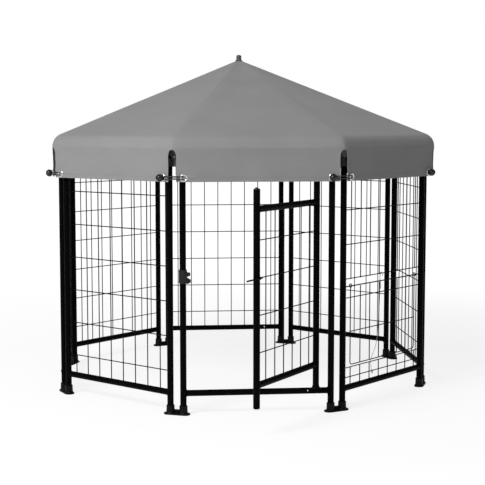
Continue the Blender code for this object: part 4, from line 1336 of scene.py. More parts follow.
@dataclass
class Hatch:
    """The flap hatch in the front-right panel, its hook and the hook's cord."""

    ring: Ring
    wires: WireWork
    panels: Panels
    bar_gap: float = 0.0014
    low: float = 0.176
    turn: float = 0.012
    third: float = 0.3105
    second: float = 0.448
    reach: float = 0.2771
    eye_gap: float = 0.0006
    eye_lift: float = 0.0030
    hook_x: float = -0.016
    hook_wire: float = 0.0015
    hook_half: float = 0.006
    hook_gap: float = 0.0006
    hook_drop: float = 0.002
    crook: Station = (0.0048, 0.0012)
    crown: float = 0.0004
    shank: Station = (0.0068, 0.506)
    shank_sink: float = 0.003
    hook_tip_z: float = 0.5165
    tie_x: float = -0.078
    tie_gap: float = 0.0004
    grip_y: float = 0.0072
    grip_top: float = 0.491
    grip_wide: float = 0.466
    grip_low: float = 0.4575
    grip_radii: Spot = (0.0022, 0.0050, 0.0036)
    grip_nose: tuple[Station, ...] = ((0.0, 0.0), (0.0, 0.0011), (0.0008, 0.0018))
    grip_crown: tuple[Station, ...] = ((-0.0006, 0.0034), (0.0, 0.0028), (0.0, 0.0))
    grip_ribs: int = 14
    rib: float = 0.0004
    rib_start: float = 0.0016
    rib_room: float = 0.0028
    cord_radius: float = 0.0010
    cord_seat: float = 0.0003
    knot_radius: float = 0.0030
    knot_wave: Spot = (0.0017, 0.0006, 0.0013)
    lump_radius: float = 0.00115
    tip: Profile = ((-2.2, 0), (-1.8, 1.2), (-0.6, 2), (0.8, 2), (1.8, 1.4), (2, 0))
    tail: tuple[Spot, ...] = ((0.0, 0.0, 0.0), (0.0022, 0.0006, -0.0030), (0.0035, 0.0, -0.007))
    bends: tuple[Spot, ...] = (
        (0.0, 1.0, 0.903), (0.081, 0.944, 0.736), (0.177, 0.889, 0.570), (0.290, 0.833, 0.410),
        (0.500, 0.750, 0.292), (0.774, 0.667, 0.222), (1.016, 0.611, 0.165), (1.081, 0.583, 0.113),
        (1.032, 0.611, 0.047))

    @property
    def tie_z(self) -> float:
        """The height of the wire that the cord is tied to."""
        return self.panels.lower_rows[0]

    def flap(self) -> Thing:
        """Makes the flap: welded wires, a rounded lower edge and two tall eyes on the crossbar.

        Returns:
            The flap.
        """
        places = self.wires.column_places(self.panels.column_count)
        edge, layer, turn = places[-1], self.wires.layer, self.turn
        top = self.panels.hatch_bar - self.panels.hatch_bar_radius - self.bar_gap
        route = [(-edge, top), (-edge, self.low + turn)]
        route += [(-edge + turn * (1 - cos(a)), self.low + turn * (1 - sin(a)))
                  for a in (pi / 8, pi / 4, 3 * pi / 8, pi / 2)]
        route += [(-x, z) for x, z in reversed(route)]
        rim = [Vector((x, 0.0, z)) for x, z in route]
        pieces = [swept("rim", rim, self.wires.radius, 12, False, OUTWARD)]
        pieces += [self.wires.wire((x, -layer, self.low), (x, -layer, top)) for x in places[1:-1]]
        for z, reach in ((self.third, edge), (self.second, self.reach)):
            pieces.append(self.wires.row(z, -reach, reach))
        return Bench.joined(pieces + [self.eye(x) for x in (-edge, edge)])

    def eye(self, x: float) -> Thing:
        """Makes a tall wire eye round the crossbar.

        Args:
            x: its place along the crossbar.

        Returns:
            The eye.
        """
        size = self.panels.hatch_bar_radius + self.eye_gap + self.wires.radius
        route = []
        for start, lift in ((0.0, self.eye_lift), (pi, 0.0)):
            for angle in (start + pi * step / 12.0 for step in range(13)):
                z = self.panels.hatch_bar + lift + size * sin(angle)
                route.append(Vector((x, size * cos(angle), z)))
        return swept("eye", route, self.wires.radius, 12, True, ALONG)

    def hook(self) -> Thing:
        """Makes the wire hook with its tapered, ribbed grip.

        Returns:
            The hook and its grip.
        """
        above = self.panels.upper_rows[0]
        half, low = self.hook_half, above - self.hook_drop
        top = above + self.wires.radius + self.hook_gap + self.hook_wire
        side, drop = self.crook
        route = [(-half, self.hook_tip_z), (-half, low), (-side, top - drop), (0.0, top + self.crown),
                 (side, top - drop), (half, low), self.shank, (self.grip_y, self.grip_top - self.shank_sink)]
        spots = eased([(self.hook_x, y, z) for y, z in route], 6)
        bend = swept("hook", spots, self.hook_wire, 14, False, ALONG)
        tip = Bench.moved(Bench.lathe(self.tip, 16), self.hook_x, -half, self.hook_tip_z)
        low_radius, wide_radius, top_radius = self.grip_radii
        stations = [(self.grip_low + rise, radius) for rise, radius in self.grip_nose]
        for step in range(self.grip_ribs + 1):
            run = self.grip_top - self.grip_low - self.rib_room
            z = self.grip_low + self.rib_start + step / self.grip_ribs * run
            if z < self.grip_wide:
                share = sqrt((z - self.grip_low) / (self.grip_wide - self.grip_low))
                radius = low_radius + (wide_radius - low_radius) * share
            else:
                share = (z - self.grip_wide) / (self.grip_top - self.grip_wide)
                radius = wide_radius - (wide_radius - top_radius) * share
            stations.append((z, radius - (self.rib if step % 2 else 0.0)))
        stations += [(self.grip_top + rise, radius) for rise, radius in self.grip_crown]
        return Bench.joined([bend, tip, Bench.moved(Bench.turned(stations, 24), self.hook_x, self.grip_y)])

    @property
    def tie_loop(self) -> float:
        """The radius of the cord's turn round its wire."""
        return self.wires.radius + self.tie_gap + self.cord_radius

    def cord_route(self) -> list[Vector]:
        """The route of the cord from under the grip to the wire that it is tied to.

        Returns:
            The route's points.
        """
        start = self.grip_low - self.cord_seat
        points = [(self.hook_x, self.grip_y, start)]
        for aside, off, up in self.bends:
            points.append((self.hook_x + aside * (self.tie_x - self.hook_x), off * self.grip_y,
                           self.tie_z + up * (start - self.tie_z)))
        return eased([*points, (self.tie_x, self.tie_loop, self.tie_z)], 6)

    def knot(self) -> Thing:
        """Makes the turn round the wire and the overhand knot with its two tails.

        Returns:
            The turn and the knot.
        """
        loop = self.tie_loop
        turn = [Vector((self.tie_x, loop * cos(angle), self.tie_z + loop * sin(angle)))
                for angle in (2.0 * pi * step / 20 for step in range(20))]
        middle = Vector((self.tie_x, 0.0, self.tie_z - loop - self.knot_radius + self.cord_radius))
        lumps = []
        mean, swell, aside = self.knot_wave
        for angle in (2.0 * pi * step / 40 for step in range(40)):
            size = mean + swell * cos(3.0 * angle)
            way = (size * cos(2.0 * angle), aside * sin(3.0 * angle), size * sin(2.0 * angle))
            lumps.append(middle + Vector(way))
        pieces = [swept("turn", turn, self.cord_radius, 10, True, ALONG),
                  swept("lump", lumps, self.lump_radius, 10, True, Vector((0.05, 1.0, 0.1)))]
        for side in (-1.0, 1.0):
            tail = eased([middle + Vector((side * x, y, z)) for x, y, z in self.tail], 4)
            pieces.append(swept("tail", tail, self.cord_radius * 0.95, 10, False, OUTWARD))
        return Bench.joined(pieces)

    def build(self, shop: Shop) -> None:
        """Builds the hatch, its hook and its cord and hands them over.

        Args:
            shop: the shop that takes the pieces.
        """
        place = self.ring.panel(1)
        flap = Bench.settled(self.flap(), place)
        shop.hand_over(flap, "hatch_flap", Finish.POWDER, Body.HATCH, "hatch_door")
        hook = Bench.settled(self.hook(), place)
        shop.hand_over(hook, "hatch_hook_and_grip", Finish.HOOK, Body.HOOK, "hatch_hook")
        knot = Bench.settled(self.knot(), place)
        shop.hand_over(knot, "hatch_cord_knot", Finish.CORD, Body.SHELTER)
        route = [place @ point for point in self.cord_route()]
        out = (place.to_3x3() @ OUTWARD).normalized()
        cord = swept("hatch_cord_line", route, self.cord_radius, 10, False, out)
        Bench.smoothed(cord)
        cord.data.materials.append(shop.paints[Finish.CORD])
        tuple(route[0])
        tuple(route[-1])
        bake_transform(cord)
        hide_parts("hatch_cord")
        length = sum((b - a).length for a, b in zip(route, route[1:]))
        tuple(route[0])
        [tuple(p) for p in route]
        LOG.info("hatch cord: %.3f m long", length)


# Corners


@dataclass
class Foot:
    """A two-cup plastic foot under a corner's posts."""

    ring: Ring
    length: float = 0.108
    width: float = 0.040
    base: float = 0.006
    rim: float = 0.0016
    drain_inset: float = 0.0085
    drain_radius: float = 0.0022
    drain_depth: float = 0.003
    nub_y: float = -0.0135
    nub_radius: float = 0.0032
    nub_height: float = 0.0028
    nub_rim: float = 0.0008
    bridge: Spot = (0.012, 0.0022, 0.014)
    sink: float = 0.001
    cup: Profile = ((5, 19.5), (6.4, 19), (7.4, 17.8), (9.5, 16.9), (14, 16.6), (30.8, 15.8), (32, 16.25),
                    (35.2, 16.25), (36, 15.5), (36, 13.6), (35.4, 13), (24, 13))

    def base_plate(self) -> Thing:
        """Makes the obround base with a soft upper rim and two drain holes.

        Returns:
            The base.
        """
        Bench.clear()
        radius, shift = self.width / 2.0, (self.length - self.width) / 2.0
        bpy.ops.mesh.primitive_cylinder_add(
            vertices=64, radius=radius, depth=self.base, location=(0.0, 0.0, self.base / 2.0))
        made = bpy.context.object
        bpy.ops.object.transform_apply(location=True)
        for side in (-1.0, 1.0):
            with Bench.editing(made, Kind.VERT):
                Bench.choose(made, Kind.VERT, lambda at, way: at.x * side > NEAR)
                bpy.ops.transform.translate(value=(side * shift, 0.0, 0.0))
        Bench.rounded(made, lambda at, way: at.z > self.base - NEAR, self.rim, 3)
        Bench.sealed(made)
        for side in (-1.0, 1.0):
            x = side * (self.length / 2.0 - self.drain_inset)
            ends = (x, 0.0, self.base - self.drain_depth), (x, 0.0, self.base + DRILL)
            Bench.cut(made, Bench.bar(*ends, self.drain_radius, 20))
        return made

    def build(self, shop: Shop) -> None:
        """Builds the feet and hands them over.

        Args:
            shop: the shop that takes the pieces.
        """
        half, low = self.ring.corner_pitch / 2.0, self.base - self.sink
        pieces = [self.base_plate()] + [Bench.moved(Bench.lathe(self.cup, 40), x) for x in (-half, half)]
        x, y, rise = self.bridge
        pieces.append(Bench.block((-x, -y, low), (x, y, self.base + rise), self.nub_rim))
        nub = (0.0, self.nub_y, low), (0.0, self.nub_y, self.base + self.nub_height)
        pieces.append(Bench.bar(*nub, self.nub_radius, 24, self.nub_rim))
        pattern = Bench.moved(Bench.joined(pieces), 0.0, -self.ring.corner_radius)
        shop.at_corners((pattern, "foot_cups_after_", Finish.BLACK, "foot_after_"))


@dataclass
class Roof:
    """The lines of the roof: where its skin, ridges and rafters lie."""

    ring: Ring
    apex: float = 1.421
    crease: float = 1.080
    hem: float = 0.916
    stand: float = 0.0353
    skin: float = 0.0015
    socket_radius: float = 0.008
    seat: float = 0.0003
    grommet_x: float = 0.044
    grommet_z: float = 0.932

    @property
    def apothem(self) -> float:
        """From the middle to the face of the valance."""
        return self.ring.panel_radius + self.stand

    @property
    def slope(self) -> float:
        """How steeply a facet falls."""
        return (self.apex - self.crease) / self.apothem

    @property
    def ridge_slope(self) -> float:
        """How steeply a ridge falls."""
        return self.slope * cos(self.ring.half_step)

    def rafter(self, radius: float, out: float = 0.0) -> Vector:
        """The point on a rafter's axis at a radius, moved out along the rafter.

        Args:
            radius: how far from the middle.
            out: how far along the rafter from there.

        Returns:
            The point.
        """
        drop = (self.skin + self.socket_radius + self.seat) * sqrt(1.0 + self.slope ** 2)
        way = Vector((0.0, -1.0, -self.ridge_slope)).normalized()
        return Vector((0.0, -radius, self.apex - drop - self.ridge_slope * radius)) + way * out

    def facet_z(self, apothem: float, drop: float) -> float:
        """The height of a facet lowered square to itself by drop."""
        return self.apex - drop * sqrt(1.0 + self.slope ** 2) - self.slope * apothem


@dataclass
class CornerBracket:
    """The plastic bracket over a corner's post tops, with the rafter's socket."""

    ring: Ring
    roof: Roof
    post_top: float = 1.0
    low: float = 0.974
    stem_low: float = 0.941
    tab_top: float = 1.046
    tab_half: float = 0.0165
    tab_lift: float = 0.0003
    face_rim: float = 0.0030
    face_depth: float = 0.0016
    face_round: float = 0.0008
    shoulder: float = 0.011
    neck_drop: float = 0.003
    web: float = 0.012
    rivet_x: float = -0.004
    rivet_z: float = 1.012
    socket_start: float = 0.001
    socket_length: float = 0.030
    sleeve: Profile = ((982, 12.9), (974, 12.9), (974, 15.7), (974.8, 16.25), (977.4, 16.25), (978.2, 15.8),
                       (1002.1, 15.6), (1003.7, 14.6), (1004.3, 13), (1004.3, 0))
    dome: Profile = ((4.8, 1.98), (4.8, 3.6), (5.4, 3.6), (6.2, 2.88), (6.7, 1.62), (6.8, 0))
    socket: Profile = ((8, 5.1), (0, 5.1), (0, 7), (0.6, 7.8), (3, 7.9), (4, 7.2), (24, 7.6), (28, 7.4),
                       (29.4, 6.2), (30, 4.2), (30, 0))

    def tab(self) -> Thing:
        """Makes the upright tab with round shoulders and a sunk face.

        Returns:
            The tab.
        """
        half = self.web / 2.0
        low = (-self.tab_half, -half, self.low + self.tab_lift)
        made = Bench.box(low, (self.tab_half, half, self.tab_top))
        Bench.rounded(made, lambda at, way: at.z > self.tab_top - NEAR and abs(way.y) > 0.9, self.shoulder, 6)
        with Bench.editing(made, Kind.FACE):
            Bench.choose(made, Kind.FACE, lambda at, way: abs(way.y) > 0.9)
            bpy.ops.mesh.inset(thickness=self.face_rim, depth=-self.face_depth, use_individual=True)
        Bench.rounded(made, lambda at, way: abs(way.y) < 0.1 and abs(at.y) > half - NEAR, self.face_round, 2)
        return Bench.sealed(made)

    def build(self, shop: Shop) -> None:
        """Builds the brackets and hands them over.

        Args:
            shop: the shop that takes the pieces.
        """
        radius, half = self.ring.corner_radius, self.ring.corner_pitch / 2.0
        start = self.roof.rafter(radius, self.web / 2.0 + self.socket_start - self.socket_length)
        way = self.roof.rafter(radius, 1.0) - self.roof.rafter(radius)
        socket = Bench.moved(Bench.aimed(Bench.lathe(self.socket, 28), start, way), 0.0, radius)
        neck_top = self.roof.rafter(radius).z - self.neck_drop
        pieces = [self.tab(), *(Bench.moved(Bench.lathe(self.sleeve, 40), x) for x in (-half, half)), socket]
        for low, high, off in (  # the stem, the neck under the socket and the bridge between the caps
                ((0.0004, -0.004, self.stem_low), (0.0092, 0.004, self.low + 0.006), 0.0011),
                ((-0.0056, -0.0048, self.tab_top - 0.010), (0.0056, 0.0048, neck_top), 0.0010),
                ((-half, -0.0016, self.low + 0.010), (half, 0.0016, self.post_top - 0.002), 0.0006)):
            pieces.append(Bench.block(low, high, off))
        caps = Bench.moved(Bench.joined(pieces), 0.0, -radius)
        heads = [(-height, size) for height, size in reversed(self.dome)] + list(self.dome)
        # The rivet heads take the whitened plate, whose colour is a painted highlight
        rivet = Bench.aimed(Bench.lathe(heads, 28), (self.rivet_x, 0.0, self.rivet_z), OUTWARD)
        shop.at_corners((caps, "corner_cap_after_", Finish.GREY, "bracket_after_"),
                        (Bench.moved(rivet, 0.0, -radius), "cap_rivet_after_", Finish.ZINC, ""))


@dataclass
class RoofFrame:
    """The hub, its finial and the eight rafters."""

    ring: Ring
    roof: Roof
    web: float = 0.012
    rafter_start: float = 0.0203
    hub_apothem: float = 0.050
    hub_rim: float = 0.0012
    hub_top: float = 0.012
    hub_drop: float = 0.040
    hub_floor: float = 0.004
    hub_hollow: Station = (0.030, 0.034)
    hub_lip: float = 0.0008
    mouth_sink: float = 0.003
    stud_radius: float = 0.004
    stud_rim: Station = (0.001, 0.0036)
    flange: float = 0.0013
    skirt: float = 0.0163
    finial_top: float = 1.443
    stud_depth: float = 0.035
    rod: Profile = ((0, 3.85), (0.8, 4.75), (50, 4.75), (51.2, 4.35), (53, 4.35), (54.2, 4.75))
    mouth: Profile = ((0, 5.3), (-4, 7.2), (2.8, 7.2), (3.4, 6.6), (3.4, 5.3))
    nut: Profile = ((4.5, 0), (4.5, 7.5), (0, 7.5), (0, 0))
    knob: tuple[Station, ...] = (
        (0.03, 0.0166), (0.08, 0.0152), (0.15, 0.0133), (0.24, 0.0118), (0.34, 0.0111), (0.44, 0.0110),
        (0.54, 0.0113), (0.64, 0.0115), (0.74, 0.0113), (0.83, 0.0105), (0.90, 0.0092), (0.95, 0.0074),
        (0.985, 0.0046))

    def rafter(self) -> Thing:
        """Makes a rafter rod with swaged ends.

        Returns:
            The rod.
        """
        start = self.roof.rafter(self.rafter_start)
        way = self.roof.rafter(self.ring.corner_radius, self.web / 2.0 - self.roof.seat) - start
        return Bench.aimed(Bench.lathe(mirrored(self.rod, way.length * MM), 24), start, way)

    def hub(self) -> Thing:
        """Makes the octagonal hub with eight socket mouths and its nut.

        Returns:
            The hub.
        """
        low, rim, edge = self.roof.apex - self.hub_drop, self.hub_apothem, self.hub_rim
        drop = self.roof.skin + self.roof.seat
        top = self.roof.facet_z(self.hub_top, drop)
        floor, (hollow, hollow_rim) = low + self.hub_floor, self.hub_hollow
        flats = [(floor, 0.0), (floor, hollow), (low, hollow_rim), (low, rim - edge), (low + edge, rim),
                 (self.roof.facet_z(rim, drop) - self.hub_lip, rim),
                 (self.roof.facet_z(rim - edge, drop), rim - edge), (top, self.hub_top), (top, 0.0)]
        grow = 1.0 / cos(self.ring.half_step)
        stations = [(height, flat * grow) for height, flat in flats]
        pieces = [Bench.settled(Bench.turned(stations, 8), Matrix.Rotation(self.ring.half_step, 4, "Z"))]
        start = self.roof.rafter(rim * grow - self.mouth_sink)
        way = self.roof.rafter(1.0) - self.roof.rafter(0.0)
        for index in range(self.ring.count):
            mouth = Bench.aimed(Bench.lathe(self.mouth, 24, ring=True), start, way)
            pieces.append(Bench.settled(mouth, Matrix.Rotation((index + 0.5) * self.ring.step, 4, "Z")))
        return Bench.joined(pieces + [Bench.moved(Bench.lathe(self.nut, 6), 0.0, 0.0, low)])

    def finial(self) -> Thing:
        """Makes the knob on its stud, with a flange on the cloth.

        Returns:
            The knob and its stud.
        """
        foot = self.roof.apex + self.roof.seat - self.roof.ridge_slope * self.skirt
        stud = self.roof.apex - self.stud_depth
        rise, end = self.stud_rim
        stations = [(stud, 0.0), (stud, end), (stud + rise, self.stud_radius),
                    (self.roof.apex - self.flange, self.stud_radius), (foot, self.skirt)]
        stations += [(foot + share * (self.finial_top - foot), radius) for share, radius in self.knob]
        return Bench.turned(stations + [(self.finial_top, 0.0)], 40)

    def build(self, shop: Shop) -> None:
        """Builds the roof's frame and hands it over.

        Args:
            shop: the shop that takes the pieces.
        """
        shop.at_corners((self.rafter(), "rafter_rod_after_", Finish.RAFTER, "rafter_after_"))
        middle = Matrix.Translation(self.ring.middle)
        shop.hand_over(Bench.settled(self.hub(), middle), "hub_body", Finish.GREY, Body.SHELTER, "roof_hub")
        finial = Bench.settled(self.finial(), middle)
        shop.hand_over(finial, "finial", Finish.GREY, Body.SHELTER, "finial_knob", angle=60.0)


# The canopy


@dataclass
class Canopy:
    """One continuous cloth: eight gores over the rafters, a soft eave and a slotted valance."""

    ring: Ring
    roof: Roof
    eave_radius: float = 0.055
    cloth: float = 0.0011
    sag: float = 0.0085
    ridge_round: float = 0.34
    corner_round: float = 0.045
    round_end: float = 0.745
    round_fade: float = 0.42
    hole: float = 0.0055
    slot_half: float = 0.0165
    slot_top: float = 1.041
    slot_close: float = 0.030
    slot_fade: float = 0.060
    hem_width: float = 0.020
    hem_step: float = 0.0006
    hem_rows: tuple[float, ...] = (0.0197, 0.0155, 0.010, 0.005, 0.0)
    stitch_in: float = 0.003
    welt_z: float = 1.0470
    welt_height: float = 0.0026
    welt_above: float = 0.0075
    welt_below: float = 0.024
    ripple: float = 0.0011
    waves: tuple[Spot, ...] = ((1.0, 2.1, 1.7), (0.6, 4.3, 2.9))
    hollow: float = 0.0022
    pull: float = 0.0024
    pull_near: float = 0.020
    pull_far: float = 0.070
    roof_rows: int = 34
    eave_rows: int = 15
    valance_rows: int = 24
    gore_columns: int = 15
    slot_columns: int = 5
    uv_gap: float = 0.7

    @property
    def pitch(self) -> float:
        """The roof's angle."""
        return atan2(self.roof.slope, 1.0)

    @property
    def half_width(self) -> float:
        """Half of the valance's width on a panel."""
        return self.roof.apothem * tan(self.ring.half_step)

    def along(self, across: float) -> float:
        """A way along a corner as a share of the valance's half width."""
        return across / cos(self.ring.half_step) / self.half_width

    def profile(self) -> list[Row]:
        """The rows from the apex to the hem.

        Returns:
            For each row its apothem, height, outward and upward slope and its way down the cloth.
        """
        pitch, eave, face = self.pitch, self.eave_radius, self.roof.apothem
        setback = eave * tan((pi / 2.0 - pitch) / 2.0)
        middle_z = self.roof.crease - setback
        start = face - setback * cos(pitch)
        rows = []
        for index in range(self.roof_rows):
            apothem = self.hole + (start - self.hole) * (index / self.roof_rows) ** 1.15
            rows.append((apothem, self.roof.apex - self.roof.slope * apothem, sin(pitch), cos(pitch)))
        for index in range(self.eave_rows + 1):
            angle = (pi / 2.0 - pitch) * (1.0 - index / self.eave_rows)
            out, up = cos(angle), sin(angle)
            rows.append((face - eave + eave * out, middle_z + eave * up, out, up))
        drop = middle_z - self.roof.hem - self.hem_width
        heights = [middle_z - drop * (index + 1) / self.valance_rows for index in range(self.valance_rows)]
        heights += [self.roof.hem + rise for rise in self.hem_rows]
        rows += [(face, z, 1.0, 0.0) for z in heights]
        run, placed = 0.0, [(*rows[0], 0.0)]
        for above, row in zip(rows, rows[1:]):
            run += hypot(row[0] - above[0], row[1] - above[1])
            placed.append((*row, run))
        return placed

    def shares(self) -> list[float]:
        """A facet's columns as shares of its half width, from its left corner to its right one.

        Returns:
            The shares, from -1 to 1.
        """
        slot = self.along(self.slot_half)
        half = [1.0 - slot * index / self.slot_columns for index in range(self.slot_columns)]
        half += [(1.0 - slot) * (1.0 - index / self.gore_columns) for index in range(self.gore_columns)]
        return [-share for share in half] + [0.0] + half[::-1]

    def column(self, share: float, z: float) -> float:
        """Moves a column so that the slot opens smoothly from its point.

        Args:
            share: the column's share of the facet's half width.
            z: the row's height.

        Returns:
            The share at that height.
        """
        full = self.along(self.slot_half)
        if z > self.slot_top:
            above = min((z - self.slot_top) / self.slot_fade, 1.0)
            edge = full * above * above * (3.0 - 2.0 * above)
        else:
            deep = min((self.slot_top - z) / self.slot_close, 1.0)
            edge = self.along(self.slot_half * sqrt(1.0 - (1.0 - deep) ** 2))
        side = 1.0 if share > 0.0 else -1.0
        from_corner = 1.0 - abs(share)
        if from_corner <= full + 1e-9:
            return side * (1.0 - from_corner * edge / full)
        return side * (1.0 - (edge + (from_corner - full) * (1.0 - edge) / (1.0 - full)))

    def point(self, facet: int, share: float, row: Row) -> Vector:
        """Where the cloth's outer face lies.

        Args:
            facet: the facet's number.
            share: the column as a share of the facet's half width.
            row: one row of the profile.

        Returns:
            The point, about the ring's middle.
        """
        apothem, z, _, out_z, _ = row
        half_step = self.ring.half_step
        moved = self.column(share, z)
        width = apothem * tan(half_step)
        fade = min(max((self.round_end - apothem) / self.round_fade, 0.0), 1.0)
        fade *= fade * (3.0 - 2.0 * fade)
        size = apothem * (self.corner_round + (self.ridge_round - self.corner_round) * fade)
        reach = size * tan(half_step)
        x, out = moved * width, apothem
        if abs(x) > width - reach:
            angle = (abs(x) - (width - reach)) / reach * half_step
            x = (width - reach + size * sin(angle)) * (1.0 if moved > 0.0 else -1.0)
            out = apothem - size + size * cos(angle)
        z += size * (1.0 / cos(half_step) - 1.0) * self.roof.ridge_slope * out_z / cos(self.pitch)
        if out_z > LEVEL:
            down = min(apothem / self.roof.apothem, 1.0)
            z -= (1.0 - moved * moved) * sin(pi * down ** 0.9) * self.sag
        spread = self.welt_above if z > self.welt_z else self.welt_below
        out += self.welt_height * exp(-((z - self.welt_z) / spread) ** 2) * (1.0 - 0.8 * moved ** 4)
        if out_z < 0.5:
            deep = max((self.roof.crease - z) / (self.roof.crease - self.roof.hem), 0.0)
            wave = sum(part * sin(turns * pi * moved + shift * facet) for part, turns, shift in self.waves)
            out += (self.ripple * wave - self.hollow * (1.0 - moved * moved)) * deep ** 1.3 * (1.0 - out_z)
            out -= self.tension(moved * width, z)
            if z < self.roof.hem + self.hem_width - NEAR:
                out += self.hem_step
        return Matrix.Rotation(facet * self.ring.step, 3, "Z") @ Vector((x, -out, z))

    def tension(self, x: float, z: float) -> float:
        """How deep the pull of the nearest grommet folds the cloth, in metres.

        Args:
            x: the place along the facet.
            z: its height.

        Returns:
            The fold's depth.
        """
        dx = abs(x) - (self.half_width - self.roof.grommet_x / cos(self.ring.half_step))
        dz = z - self.roof.grommet_z
        far, angle = hypot(dx, dz), atan2(dx, dz)
        fold = 0.5 - 0.5 * cos(5.0 * angle + 0.4)
        return self.pull * min(far / self.pull_near, 1.0) * exp(-far / self.pull_far) * fold

    def cloth_mesh(self) -> Thing:
        """Makes the cloth with its UV map and its stitched lines.

        Returns:
            The cloth, still without thickness.
        """
        rows, shares = self.profile(), self.shares()
        columns = len(shares) - 1
        around = columns * self.ring.count
        slot_edge = abs(shares[self.slot_columns])
        verts = [self.point(facet, share, row)
                 for row in rows for facet in range(self.ring.count) for share in shares[:-1]]
        faces, uvs = [], []
        for level in range(len(rows) - 1):
            open_here = rows[level][1] < self.slot_top + 1e-6
            for column in range(around):
                facet, start = divmod(column, columns)
                if open_here and abs(shares[start] + shares[start + 1]) / 2.0 > slot_edge:
                    continue
                here, below, after = level * around, (level + 1) * around, (column + 1) % around
                faces.append((here + column, below + column, below + after, here + after))
                for down, across in ((0, 0), (1, 0), (1, 1), (0, 1)):
                    row = rows[level + down]
                    width = min(row[0], self.roof.apothem) * tan(self.ring.half_step)
                    uvs.append((shares[start + across] * width + facet * self.uv_gap, row[4]))
        made = Bench.from_lists("canopy_cloth", verts, faces, "cloth", uvs)
        hem_line = self.roof.hem + self.hem_width - self.stitch_in
        mark = made.data.attributes.new("off_stitch", "FLOAT", "POINT")
        mark.data.foreach_set("value", [vert.co.z - hem_line for vert in made.data.vertices])
        with Bench.editing(made, Kind.VERT, True):
            bpy.ops.mesh.remove_doubles(threshold=5.0 * NEAR)
            bpy.ops.mesh.delete_loose()
            bpy.ops.mesh.select_all(action="SELECT")
            bpy.ops.mesh.normals_make_consistent(inside=False)
        return made

    def build(self, shop: Shop) -> None:
        """Builds the cloth and hands it over.

        Args:
            shop: the shop that takes the pieces.
        """
        cloth = self.cloth_mesh()
        Bench.modified(cloth, "SOLIDIFY", thickness=self.cloth, offset=-1.0, use_even_offset=False)
        Bench.settled(cloth, Matrix.Translation(self.ring.middle))
        shop.hand_over(cloth, "canopy_cloth", Finish.CLOTH, Body.SHELTER, "canopy_cover", angle=60.0)
        slant = hypot(self.roof.apothem, self.roof.apex - self.roof.crease)
        valance = self.roof.crease - self.roof.hem
        slot = 2.0 * self.slot_half * (self.slot_top - self.roof.hem - 0.2 * self.slot_close)
        area = self.ring.count * (self.half_width * slant + 2.0 * self.half_width * valance - slot)
        ["rafter_rod_after_" + name for name in self.ring.names]


